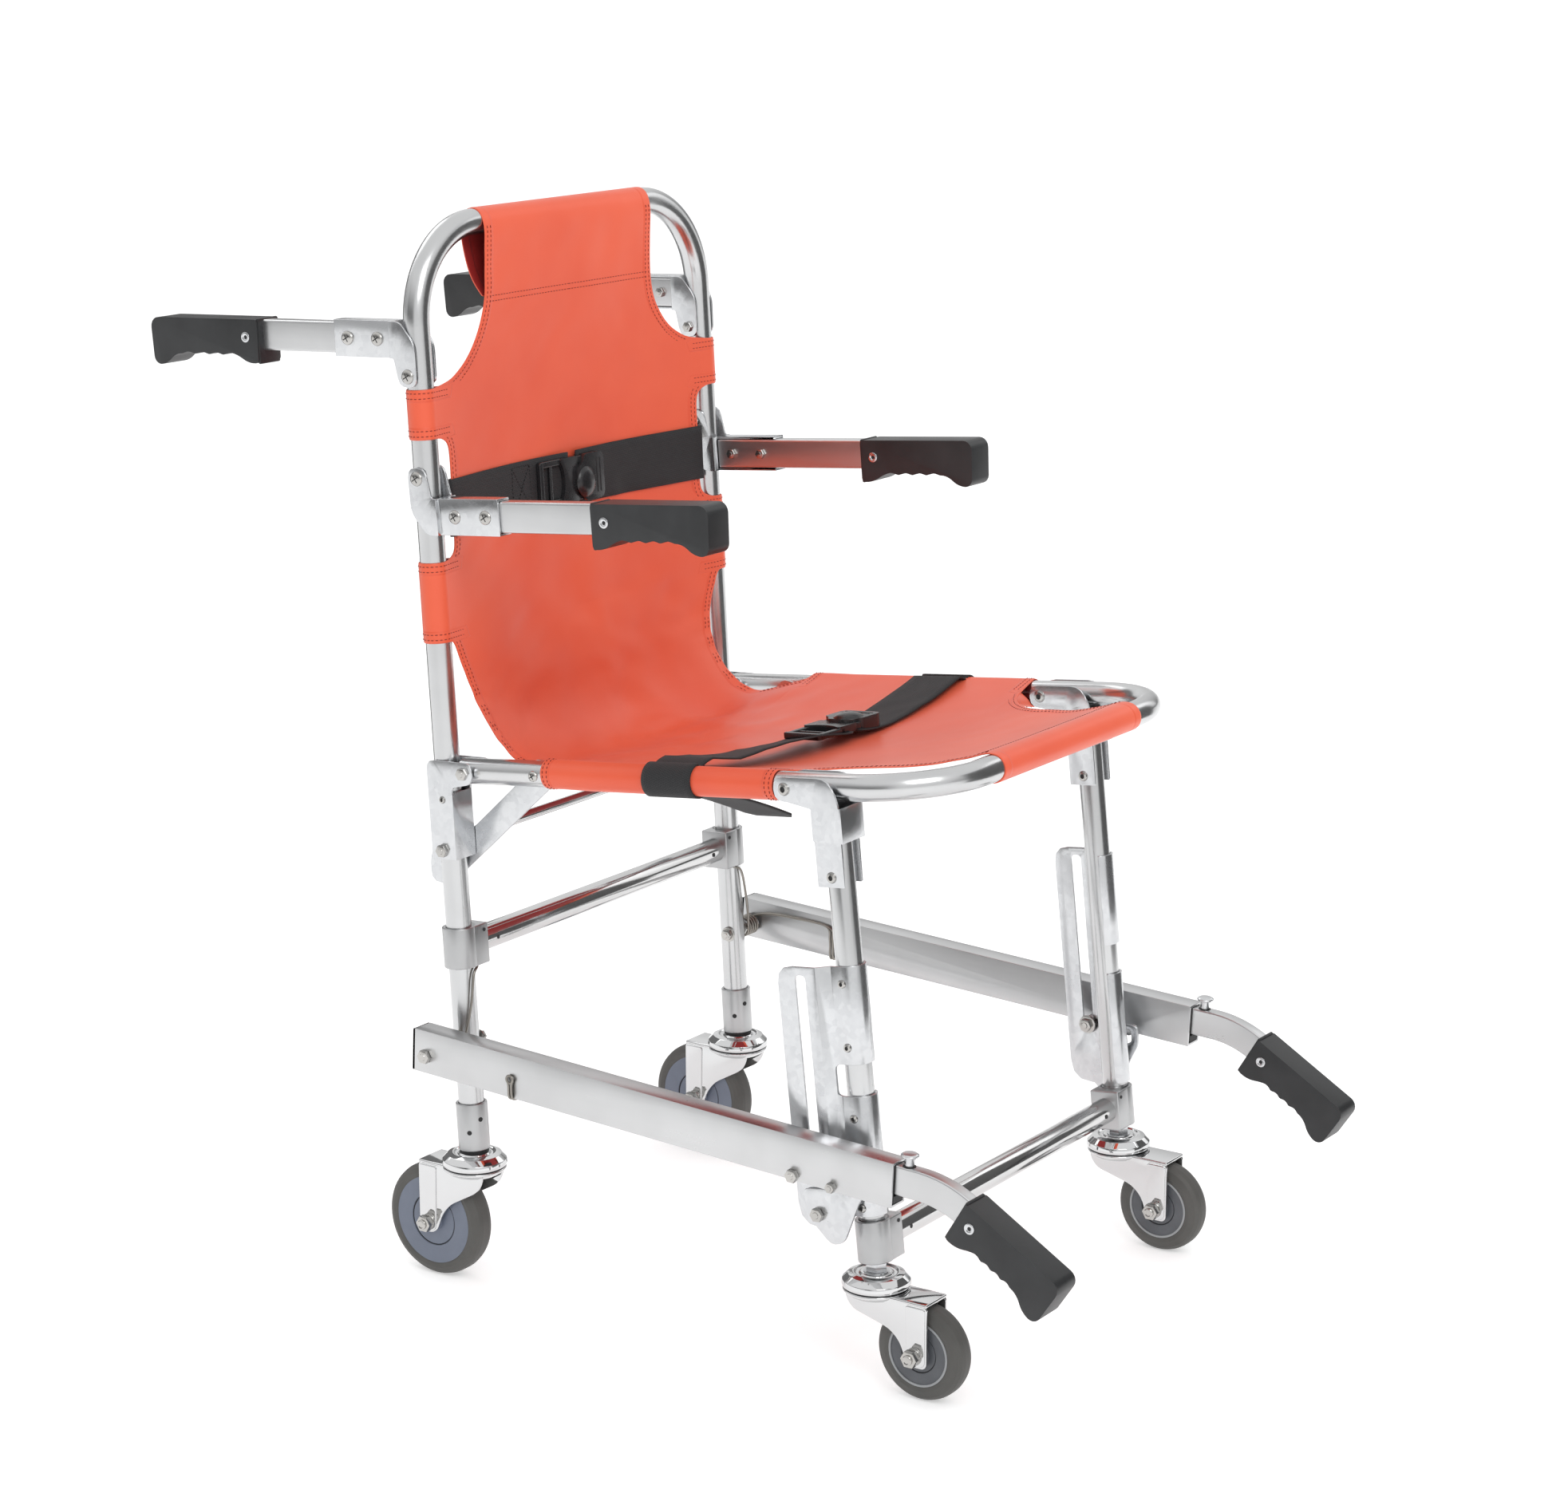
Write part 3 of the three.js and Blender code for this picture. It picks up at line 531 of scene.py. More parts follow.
def spline(points, per_span=8):
    """A smooth route through points."""
    route = []
    for i in range(len(points) - 1):
        a = points[max(i - 1, 0)]
        b, c = points[i], points[i + 1]
        d = points[min(i + 2, len(points) - 1)]
        for k in range(per_span):
            t = k / per_span
            route.append(0.5 * ((2 * b) + (c - a) * t + (2 * a - 5 * b + 4 * c - d) * t * t
                                + (3 * b - a - 3 * c + d) * t ** 3))
    route.append(points[-1])
    return route


def disc(radius, low, high, steps=16):
    """A round bar about Z between two heights."""
    return turned([(0, low), (radius, low), (radius, high), (0, high)], steps)


def band(inner, outer, low, high):
    """The closed profile of a flat ring."""
    return [(inner, low), (outer, low), (outer, high), (inner, high), (inner, low)]


def both_faces(half):
    """A closed profile from its half above the middle plane."""
    whole = half + [(r, -z) for r, z in reversed(half)]
    return whole + [whole[0]]


def oblong(x0, y0, x1, y1, corner):
    """A rectangle's outline with rounded corners."""
    return [(x0, y0, corner), (x1, y0, corner), (x1, y1, corner), (x0, y1, corner)]


def wire(route, across, radius=1.1):
    """Round spring wire along a route."""
    return sweep(route, Vector(across), None, radius, 8, 0)


def object_from(shape, name, finishes):
    """Makes a finished shape an object of the scene, with its materials."""
    data = bpy.data.meshes.new(name)
    shape.to_mesh(data)
    shape.free()
    for finish in finishes:
        data.materials.append(finish.material)
    made = bpy.data.objects.new(name, data)
    bpy.context.scene.collection.objects.link(made)
    return made


class Piece:
    """One named mesh, put together from shapes that each have a place and a finish."""

    def __init__(self, *finishes):
        self.mesh = bmesh.new()
        self.finishes = list(finishes)

    def add(self, shape, place=Matrix(), finish=None):
        index = self.finishes.index(finish) if finish else 0
        shape.transform(place)
        bmesh.ops.recalc_face_normals(shape, faces=shape.faces)
        for face in shape.faces:
            face.material_index = index
        part = bpy.data.meshes.new("shape")
        shape.to_mesh(part)
        shape.free()
        self.mesh.from_mesh(part)
        bpy.data.meshes.remove(part)
        return self

    def build(self, name, body=None, replaces=(), slot=None, smooth=40):
        piece = object_from(self.mesh, name, [FINISHES[finish] for finish in self.finishes])
        piece.data.shade_smooth()
        piece.data.set_sharp_from_angle(angle=math.radians(smooth))
        if body:
            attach(piece, body)
        if replaces:
            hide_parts(*replaces)
        return piece


def refined(name, node, finish, body, slot, width=0.35, smooth=38):
    """A CAD node's own shape with merged faces and softened edges."""
    piece = Piece(finish)
    shape = bmesh.new()
    shape.from_mesh(frame["nodes"][node].data)
    bmesh.ops.remove_doubles(shape, verts=shape.verts, dist=2e-6)
    bmesh.ops.dissolve_limit(shape, angle_limit=math.radians(1.0), verts=shape.verts, edges=shape.edges)
    bmesh.ops.transform(shape, matrix=Matrix.Scale(1 / MM, 4), verts=shape.verts)
    bevel(shape, sharp_edges(shape, 35), width, 2)
    bmesh.ops.triangulate(shape, faces=[f for f in shape.faces if len(f.verts) > 4])
    piece.add(shape, WORLD)
    return piece.build(name, body, [node], slot, smooth)


# ------------------------------------------------------------------ settings
class StairChairSizes(bpy.types.PropertyGroup):
    """Sizes that a user of the chair would change."""

    cloth_thickness: bpy.props.FloatProperty(
        name="Cloth thickness", description="Thickness of the sling's coated cloth",
        default=1.3 * MM, min=0.5 * MM, max=3 * MM, precision=4, unit="LENGTH")
    belt_width: bpy.props.FloatProperty(
        name="Belt width", description="Width of both belts' webbing",
        default=48 * MM, precision=4, unit="LENGTH")
    stitch_pitch: bpy.props.FloatProperty(
        name="Stitch pitch", description="From one stitch of a seam to the next",
        default=3.9 * MM, precision=4, unit="LENGTH")


class StairChairStage(bpy.types.PropertyGroup):
    """Floor colour and lights."""

    floor_colour: bpy.props.FloatVectorProperty(
        name="Floor colour", description="Colour of the floor",
        subtype="COLOR", size=3, default=(0.78, 0.78, 0.78))
    floor_glow: bpy.props.FloatProperty(
        name="Floor glow", description="Light that the backlit floor gives", default=0.42)
    key_power: bpy.props.FloatProperty(
        name="Key light", description="Power of the large lamp over the chair", default=30.0, unit="POWER")
    sky_strength: bpy.props.FloatProperty(
        name="Sky strength", description="Strength of the pale surroundings", default=0.85)


# ------------------------------------------------------------------ tubes
class STAIRCHAIR_OT_tubes(bpy.types.Operator):
    """Bends the back and seat tubes, and makes the crossbars and the front legs"""

    bl_idname = "stairchair.tubes"
    bl_label = "Frame tubes"

    def execute(self, context):
        x = HALF_TRACK
        corners = [(-x, 0, BACK_END), (-x, 0, BACK_TOP), (x, 0, BACK_TOP), (x, 0, BACK_END)]
        route = fillet([Vector(p) for p in corners], BACK_BEND, 22)
        tube = sweep(route, Vector((0, 1, 0)), None, TUBE_R, 40)
        Piece("satin").add(tube, BACK).build("back_tube", "chair_back", ["back_frame"], "satin_tube")
        corners = [(-x, 9, 0), (-x, -SEAT_LENGTH, 0), (x, -SEAT_LENGTH, 0), (x, 9, 0)]
        route = fillet([Vector(p) for p in corners], SEAT_BEND, 22)
        tube = sweep(route, Vector((0, 0, 1)), None, TUBE_R, 40, 1.2)
        Piece("seat_satin").add(tube, SEAT).build("seat_tube", "seat", ["seat_frame"], "satin_tube")
        for label, body, place, along in [("rear", "chair_back", BACK, REAR_BAR_UP),
                                          ("front", "front_legs", LEGS, FRONT_BAR_UP)]:
            piece = Piece("polished", "dark")
            piece.add(rod((-BAR_HALF, 0, along), (BAR_HALF, 0, along), TUBE_R, 40), place)
            for sign in SIDES.values():
                # Dark discs of painted shade stand for the crossbar's two holes.
                hole = shift(sign * 160, -10.75, along) @ turned_by(90, "X")
                piece.add(disc(1.9, 0, 0.5, 12), place @ hole, "dark")
            piece.build(f"{label}_cross_tube", body, [f"{label}_crossbar"], "polished_tube")
        centre = middle("lock_rod") / MM
        ends = [(x, centre.y, centre.z) for x in (-BRACE_ROD_HALF, BRACE_ROD_HALF)]
        piece = Piece("polished").add(rod(*ends, 4.5), WORLD)
        piece.build("brace_rod", "seat_lock", ["lock_rod"], "polished_tube")
        for side, sign in SIDES.items():
            foot, top = [(sign * HALF_TRACK, 0, z) for z in LEG_SPAN]
            piece = Piece("satin").add(rod(foot, top, TUBE_R, 40, 1.0), LEGS)
            piece.build(f"front_leg_tube_{side}", "front_legs", [f"front_leg_{side}"], "satin_tube")
        return {"FINISHED"}


# ------------------------------------------------------------------ castings
CLAMP_HALF = 17.5
SLEEVE_BORE = 11.2


def tee_clamp(piece, sign, along, place):
    """A barrel round the upright, a block towards the middle, and two pin holes painted as dark discs of
    shade.
    """
    x = sign * HALF_TRACK
    barrel = band(SLEEVE_BORE, 14.5, -CLAMP_HALF, CLAMP_HALF)
    piece.add(turned(soft_profile(barrel, 0.7), 40), place @ shift(x, 0, along))
    piece.add(block((20, 28, 2 * CLAMP_HALF), (x - sign * 11.5, 0, along), 1.2, 3), place)
    for y in (-14.2, 14.2):
        spot = place @ shift(x - sign * 16, y, along + 12) @ turned_by(90, "X")
        piece.add(disc(1.6, -0.3, 0.3, 12), spot, "dark")


class STAIRCHAIR_OT_castings(bpy.types.Operator):
    """Makes the cast clamps and the leg end sleeves"""

    bl_idname = "stairchair.castings"
    bl_label = "Clamps and sleeves"

    def execute(self, context):
        for side, sign in SIDES.items():
            piece = Piece("cast", "dark")
            tee_clamp(piece, sign, REAR_BAR_UP, BACK)
            piece.build(f"rear_tee_{side}", "chair_back", [f"rear_clamp_{side}"], "cast_clamp")
            piece = Piece("cast", "dark", "zinc")
            tee_clamp(piece, sign, FRONT_BAR_UP, LEGS)
            caster_nut(piece, "front", sign, 108.5)
            piece.build(f"front_tee_{side}", "front_legs", [f"front_clamp_{side}"], "cast_clamp")
            piece = Piece("cast", "dark", "zinc")
            cup = soft_profile([(0, 121), (13.5, 121), (13.5, 162.5), (SLEEVE_BORE, 162.5),
                                (SLEEVE_BORE, 156), (0, 156)], 0.7)
            x = sign * HALF_TRACK
            piece.add(turned(cup, 40), BACK @ shift(x))
            # Dark discs of painted shade stand for the small holes round the cup.
            for angle, up in [(-65, 138), (-20, 149), (115, 138), (160, 149)]:
                spot = BACK @ shift(x, 0, up) @ turned_by(angle - 90, "Z") @ turned_by(90, "Y")
                piece.add(disc(2.1, 13.0, 13.62, 14), spot, "dark")
            # A dark disc of painted shade fills the gap between the cup and the caster's dome.
            race = WORLD @ Matrix.Translation(swivel("rear", sign))
            piece.add(disc(12.7, 13.2, 19.4, 36), race, "dark")
            piece.build(f"leg_end_cup_{side}", "chair_back", [f"rear_leg_sleeve_{side}"], "cast_clamp")
        return {"FINISHED"}


WHEEL_R = {"rear": 50.3, "front": 40.3}
TRAIL = {"rear": 39, "front": -46}  # from a swivel axis to its axle, along Y
CROWN_GAP = 2.2
STEM_TOP = 14.4


def swivel(place, sign):
    """Where a caster's crown turns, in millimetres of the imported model."""
    joint = joint_point(f"{place}_caster_swivel_right") / MM
    return Vector((sign * HALF_TRACK, joint.y, 2 * WHEEL_R[place] + CROWN_GAP))


def caster_nut(piece, place, sign, top):
    """The hex nut that clamps a caster's stem under its leg."""
    centre = swivel(place, sign)
    low = centre.z + STEM_TOP
    piece.add(disc(10.5, 0, 1.2, 30), WORLD @ shift(centre.x, centre.y, low), "zinc")
    piece.add(hexagon(9.2, top - low - 1, 0.8), WORLD @ shift(centre.x, centre.y, low + 1), "zinc")


# ------------------------------------------------------------------ casters
def fork_cheek(trail, way, axle):
    """One cheek of a fork: wide under the race, narrow at the axle."""
    tip = trail + way * 11
    return [(-way * 20, 2.4, 2), (way * 13, 2.4, 2), (tip, 0.5, 4), (tip, axle - 10, 5),
            (trail - way * 7, axle - 10, 7), (trail - way * 17, axle + 16, 12), (-way * 20, -13, 12)]


def fork_rib(trail, way, axle):
    """The ridge that is pressed down a cheek."""
    return [(trail + way * 9.6, -1.2, 2), (trail - way * 8.4, -1.2, 2), (trail - way * 7, axle - 8.6, 6),
            (trail + way * 9.6, axle - 8.6, 5)]


class STAIRCHAIR_OT_casters(bpy.types.Operator):
    """Makes the swivel forks with their domed races, and the wheels with tread and hub"""

    bl_idname = "stairchair.casters"
    bl_label = "Casters"

    def execute(self, context):
        for side, sign in SIDES.items():
            for place in ("rear", "front"):
                self.fork(place, side, sign)
                self.wheel(place, side, sign)
        return {"FINISHED"}

    def fork(self, place, side, sign):
        """A pressed fork under its domed race, with the axle's nuts."""
        centre = swivel(place, sign)
        trail = TRAIL[place]
        way = 1 if trail > 0 else -1
        axle = WHEEL_R[place] - centre.z
        base = WORLD @ Matrix.Translation(centre)
        piece = Piece("chrome", "dark", "bolt")
        dome = soft_profile([(0, 3.2), (27.2, 3.2), (28.4, 5.6), (27.8, 9.2), (23.2, 13.6), (18.4, 15.2),
                             (16.8, 13.6), (14.2, 13.2), (13, 15), (0, 15)], 1.4, 4)
        piece.add(turned(dome, 56), base)
        lower = soft_profile([(0, -3.8), (22, -3.8), (27.4, 0.2), (27.4, 2.2), (0, 2.2)], 1.4, 4)
        piece.add(turned(lower, 56), base)
        # A dark disc of painted shade fills the gap between the upper and lower race.
        piece.add(disc(26.0, 2.0, 3.4, 40), base, "dark")
        reach = abs(trail) + 11
        half_way = way * (reach - 20) / 2
        piece.add(block((31.4, reach + 20, 3.2), (0, half_way, 0.9), 1.4, 3), base)
        # A thin dark block of painted shade under the crown, between the cheeks.
        piece.add(block((24, reach + 10, 0.8), (0, half_way, -1.0), 0.2, 1), base, "dark")
        for s in (-1, 1):
            piece.add(plate(fork_cheek(trail, way, axle), s * 13.2, s * 15.4, 0.5), base)
            piece.add(plate(fork_rib(trail, way, axle), s * 15.0, s * 16.5, 0.6, 3), base)
            spot = facing(base, s * 16.4, trail, axle, s)
            piece.add(turned(soft_profile([(0, 0), (7.4, 0), (7.0, 2.6), (0, 2.6)], 0.5, 2), 30), spot, "bolt")
            piece.add(hexagon(7.6, 6.4, 0.8), spot @ shift(z=2.6), "bolt")
            end = [(0, 8.8), (4.4, 8.8), (4.4, 10.6), (3.4, 11.6), (2.2, 11.0), (0, 11.0)]
            piece.add(turned(soft_profile(end, 0.5, 2), 24), spot, "bolt")
        body = f"{place}_caster_{side}"
        piece.build(f"{place}_caster_fork_{side}", body, [f"{place}_fork_{side}"], "polished_tube")

    def wheel(self, place, side, sign):
        """A grey tread on a moulded hub."""
        centre = swivel(place, sign)
        radius = WHEEL_R[place]
        half, tread_depth, hub = (12, 11, "hub") if place == "rear" else (11, 13, "dark_hub")
        rim = radius - tread_depth
        base = facing(WORLD, centre.x, centre.y + TRAIL[place], radius, 1)
        piece = Piece("tread", hub, "ring", "dark")
        tread = [(rim - 1, half - 1.4), (rim + 0.6, half - 0.4), (rim + 4, half), (radius - 3.4, half - 1.6),
                 (radius - 1.0, half - 4.4), (radius, half - 8)]
        piece.add(turned(soft_profile(both_faces(tread), 1.0, 3), 72), base)
        web = [(4.2, half + 0.6), (9, half + 0.6), (9.6, half - 2), (rim * 0.56, half - 2),
               (rim * 0.58, half - 3), (rim * 0.60, half - 1.6), (rim - 0.4, half - 1.0), (rim - 0.2, 0)]
        piece.add(turned(both_faces(web), 72), base, hub)
        for s in (-1, 1):
            face = base @ Matrix.Diagonal((1, 1, s, 1))
            # The groove in each face of the hub is a dark ring of painted shade.
            groove = band(rim * 0.575, rim * 0.595, half - 2.8, half - 2.2)
            piece.add(turned(groove, 60), face, "dark")
            if place == "front":
                ring = band(rim - 1.6, rim + 0.2, half - 1.4, half - 0.2)
                piece.add(turned(ring, 60), face, "ring")
        body = f"{place}_roller_{side}"
        piece.build(f"{place}_caster_wheel_{side}", body, [f"{place}_wheel_{side}"], "caster_tyre")


# ------------------------------------------------------------------ pressed plates
class STAIRCHAIR_OT_plates(bpy.types.Operator):
    """Makes the pressed brackets, channels, slotted plates, braces and latches"""

    bl_idname = "stairchair.plates"
    bl_label = "Pressed plates"

    def execute(self, context):
        for side in SIDES:
            for node, body in [
                    ("corner_bracket", "chair_back"), ("lock_brace", "seat_lock"),
                    ("seat_bracket", "seat"), ("leg_channel", "front_legs"),
                    ("slot_plate", "front_legs"), ("latch", f"latch_hook_{side}"),
                    ("rear_handle_bracket", f"rear_handle_{side}"), ("armrest_bracket", f"armrest_{side}")]:
                refined(f"{node}_plate_{side}", f"{node}_{side}", "zinc", body, "zinc_plate")
        return {"FINISHED"}


# ------------------------------------------------------------------ grips and handles
FINGERS = 4


def grip_outline(length):
    """The side of a hand grip: length runs along +Y, the arm's axis is at Z 0, the fingers are below."""
    top, low, heel = 13.5, -27.0, -23.5
    points = [(0, top, 3.0), (0, heel, 3.5), (12, heel, 6), (23, -16.6, 7)]
    first = length - 34
    span = (first - 24) / FINGERS
    for i in reversed(range(FINGERS)):
        points.append((first - span * (i + 0.5), -15.0, 2.6))
        points.append((first - span * i, -17.2, 1.2))
    points += [(length - 28, -17, 6), (length - 15, low, 6), (length - 2, low, 7), (length, top, 9)]
    return points


def hand_grip(length, place):
    """A moulded grip with rounded edges, a flared end and an eyelet."""
    piece = Piece("rubber", "zinc", "dark")
    piece.add(plate(grip_outline(length), -14, 14, 4.4, 5), place)
    piece.add(block((25.5, 3, 38.5), (0, 0.5, -5), 1.3, 2), place)
    eyelet = soft_profile([(1.6, 0), (4.6, 0), (4.4, 0.9), (3, 1.1), (1.6, 0.5), (1.6, 0)], 0.2, 2)
    for s in (-1, 1):
        spot = facing(place, s * 13.9, 13, -1.5, s)
        piece.add(turned(eyelet, 28), spot, "zinc")
        # The eyelet's hole is a dark disc of painted shade.
        piece.add(disc(1.7, 0.05, 0.35), spot, "dark")
    return piece


def phillips(piece, place, radius=4.6, height=2.2):
    """A pan head screw with a crossed recess of painted shade, standing on a place's XY plane."""
    head = [(0, height), (radius * 0.55, height * 0.94), (radius * 0.9, height * 0.55), (radius, 0.2),
            (radius, 0), (0, 0)]
    piece.add(turned(head, 28), place, "bolt")
    # The recess is two crossed dark blocks of painted shade.
    for turn in (28, 118):
        slot = block((radius * 1.15, 0.9, 0.5), (0, 0, height - 0.16), 0.1, 1)
        piece.add(slot, place @ turned_by(turn, "Z"), "dark")


WASHER = 1.3


def hex_bolt(piece, place, radius=6.0, height=4.4, washer=0.0):
    """A hex head or nut on a washer, standing on a place's XY plane."""
    if washer:
        rim = [(0, 0), (washer, 0), (washer, WASHER), (0, WASHER)]
        piece.add(turned(soft_profile(rim, 0.3, 2), 32), place, "bolt")
        place = place @ shift(z=WASHER)
    piece.add(hexagon(radius, height, 0.6), place, "bolt")
    end = [(0, height + 0.9), (radius * 0.42, height + 0.6), (radius * 0.5, height - 0.2), (0, height - 0.2)]
    piece.add(turned(end, 20), place, "bolt")


def rivet(piece, place, radius=4.2, height=1.8):
    """A domed eyelet rivet whose hole is a dark disc of painted shade, standing on a place's XY plane."""
    hole = radius * 0.36
    head = [(hole, height * 0.6), (radius * 0.45, height), (radius * 0.8, height * 0.85),
            (radius, 0.2), (radius, 0), (hole, 0), (hole, height * 0.6)]
    piece.add(turned(head, 28), place, "bolt")
    # The hole: a dark disc of painted shade.
    piece.add(disc(radius * 0.4, 0, height * 0.5), place, "dark")


# Name, place, way along Y, height over the pivot, and where the grip begins and ends.
HANDLES = [("rear_handle", REAR_HANDLE, 1, 30, 162, 283.5), ("armrest", ARMREST, -1, -32, 178, 294)]


class STAIRCHAIR_OT_handles(bpy.types.Operator):
    """Makes the folding rear handles and armrests with their grips and screws"""

    bl_idname = "stairchair.handles"
    bl_label = "Folding handles"

    def execute(self, context):
        for side, sign in SIDES.items():
            for label, place, way, above, grip_at, grip_end in HANDLES:
                here = place @ shift(sign * HALF_TRACK)
                body = f"{label}_{side}"
                route = [Vector((0, way * y, above)) for y in (19, grip_at + 50)]
                arm = Piece("beam").add(sweep(route, Vector((1, 0, 0)), oblong(-7, -13, 7, 13, 2.2)), here)
                arm.build(f"{label}_bar_{side}", body, [f"{label}_arm_{side}"], "satin_tube")
                turn = Matrix() if way > 0 else turned_by(180, "Z")
                grip = hand_grip(grip_end - grip_at, here @ shift(0, way * grip_at, above) @ turn)
                grip.build(f"{label}_hand_grip_{side}", body, [f"{label}_grip_{side}"], "black_plastic")
                screws = Piece("bolt", "dark")
                for y in (34, 66):
                    phillips(screws, facing(here, sign * 9.3, way * y, above, sign), 6.0, 2.2)
                    hex_bolt(screws, facing(here, -sign * 7, way * y, above, -sign), 4.6, 3.4)
                phillips(screws, facing(here, sign * EAR_OUT, 0, 0, sign), 6.2, 2.4)
                hex_bolt(screws, facing(here, -sign * EAR_OUT, 0, 0, -sign), 4.8, 3.6)
                screws.build(f"{label}_screws_{side}", body, slot="zinc_plate")
        return {"FINISHED"}


# ------------------------------------------------------------------ side beams
BAR_TOP = 19.6  # top of a handle bar over the beam's axis
BUTTON_AT = -475
MOUTH_AT = -436  # middle of the dark blocks of painted shade in a beam's open end
HANDLE_BEND = math.radians(28)
PLATE_FACE = 17.4  # from a leg's axis to the washer in its slotted plate


class STAIRCHAIR_OT_beams(bpy.types.Operator):
    """Makes the side beams, the sliding handle bars, their grips and the push buttons"""

    bl_idname = "stairchair.beams"
    bl_label = "Side beams and pull-out handles"

    def execute(self, context):
        for side, sign in SIDES.items():
            refined(f"side_beam_tube_{side}", f"side_beam_{side}", "beam", f"beam_{side}", "satin_tube", 1.1)
            centre = sign * BEAM_X
            trim = Piece("plastic", "dark")
            cap = oblong(12.1, -14.6, 14.2, 21.6, 1.5)
            trim.add(plate(cap, centre - 9.6, centre + 9.6, 0.5), BEAMS, "plastic")
            # Dark blocks of painted shade line the inside of the beam's open end.
            for x in (-7.2, 7.2):
                trim.add(block((0.9, 60, 30), (centre + x, MOUTH_AT, 4), 0.2, 1), BEAMS, "dark")
            for thick, z in ((0.9, BAR_TOP), (6, -9.4)):
                trim.add(block((13, 60, thick), (centre, MOUTH_AT, z), 0.2, 1), BEAMS, "dark")
            trim.build(f"beam_trim_{side}", f"beam_{side}", slot="black_plastic")
            self.handle(side, centre)
            self.bolts(side, sign, centre)
        return {"FINISHED"}

    def handle(self, side, centre):
        """The bar that slides in a beam and bends down to its grip, and its push button."""
        height = 24.5
        mid = BAR_TOP - height / 2
        radius = 104 - height / 2
        route = [Vector((centre, -240, mid)), Vector((centre, -470, mid))]
        steps = 18
        for i in range(steps + 1):
            turn = HANDLE_BEND * i / steps
            route.append(Vector((centre, -486 - radius * math.sin(turn), mid - radius * (1 - math.cos(turn)))))
        ahead = Vector((0, -math.cos(HANDLE_BEND), -math.sin(HANDLE_BEND)))
        end = route[-1].copy()
        route.append(end + ahead * 60)
        section = oblong(-6, -height / 2, 6, height / 2, 1.6)
        piece = Piece("beam", "dark").add(sweep(route, Vector((1, 0, 0)), section), BEAMS)
        # A dark disc of painted shade stands for the push button's hole.
        hole = BEAMS @ shift(centre, BUTTON_AT, BAR_TOP)
        piece.add(disc(5.4, 0, 0.25, 24), hole, "dark")
        piece.build(f"sliding_bar_{side}", f"pull_handle_{side}", [f"handle_bar_{side}"], "satin_tube")
        turn = Matrix.Rotation(HANDLE_BEND, 4, "X") @ turned_by(180, "Z")
        grip = hand_grip(99, BEAMS @ Matrix.Translation(end) @ turn)
        grip.build(f"beam_hand_grip_{side}", f"pull_handle_{side}", [f"lower_grip_{side}"], "black_plastic")
        button = [(0, -8), (4, -8), (4, 7.3), (7.2, 8.3), (7.4, 9.7), (5.6, 10.8), (0, 11.0)]
        piece = Piece("zinc").add(turned(soft_profile(button, 0.6, 3), 36), hole)
        piece.build(f"button_{side}", f"handle_button_{side}", [f"push_button_{side}"], "zinc_plate")

    def bolts(self, side, sign, centre):
        """The beam's pivot, the bolt that runs in the slotted plate, and the latch's pin."""
        outer = centre + sign * 10
        piece = Piece("bolt", "dark")
        hex_bolt(piece, facing(BEAMS, outer, 0, 0, sign), 6.2, 4.4)
        hex_bolt(piece, facing(BEAMS, outer, *SLOT_BOLT, sign), 5.8, 5.0)
        hex_bolt(piece, facing(BEAMS, outer, *LATCH_PIN, sign), 4.4, 5.2)
        slot = sign * (HALF_TRACK + PLATE_FACE)
        piece.add(rod((slot, *SLOT_BOLT), (slot + sign * 6, *SLOT_BOLT), 2.4, 20), BEAMS)
        hex_bolt(piece, facing(BEAMS, slot, *SLOT_BOLT, -sign), 6.0, 4.6, 8.0)
        piece.build(f"beam_bolts_{side}", f"beam_{side}", slot="zinc_plate")


# ------------------------------------------------------------------ fasteners
class STAIRCHAIR_OT_fasteners(bpy.types.Operator):
    """Makes the bolts, nuts, rivets and screws of the frame"""

    bl_idname = "stairchair.fasteners"
    bl_label = "Fasteners"

    def execute(self, context):
        for side, sign in SIDES.items():
            x = sign * HALF_TRACK
            out, inner = x + sign * EAR_OUT, x - sign * EAR_OUT
            piece = Piece("bolt", "dark")
            for y, z in [(-27.4, 454.2), (0, 386)]:
                hex_bolt(piece, facing(BACK, out, y, z, sign), 5.6, 4.2)
                hex_bolt(piece, facing(BACK, inner, y, z, -sign), 5.0, 3.6)
            rivet(piece, facing(BACK, out, -3, 430, sign), 3.2, 1.6)
            hex_bolt(piece, facing(BACK, x + sign * TUBE_R * 0.98, -3.3, 217, sign), 5.4, 4.0)
            hex_bolt(piece, facing(BACK, x - sign * TUBE_R * 0.98, -3.3, 217, -sign), 5.4, 4.6, 7.0)
            piece.build(f"back_bolts_{side}", "chair_back", slot="zinc_plate")
            piece = Piece("bolt", "dark")
            phillips(piece, facing(SEAT, x + sign * 10.6, -72, 0, sign), 4.6, 2.2)
            for way in (sign, -sign):
                rivet(piece, facing(SEAT, x + way * 16, -326.6, 0, way), 5.4, 2.2)
            piece.build(f"seat_screws_{side}", "seat", slot="zinc_plate")
            piece = Piece("bolt", "dark")
            for way in (sign, -sign):
                rivet(piece, facing(SEAT, x + way * EAR_OUT, -363.2, -70, way), 4.6, 2.0)
            for z in (154, 228, 286, 338):
                rivet(piece, facing(LEGS, out, 0, z, sign), 3.6, 1.8)
            hex_bolt(piece, facing(LEGS, x + sign * 25, 34.8, 149.5, sign), 6.0, 4.2)
            piece.build(f"leg_fasteners_{side}", "front_legs", slot="zinc_plate")
        return {"FINISHED"}


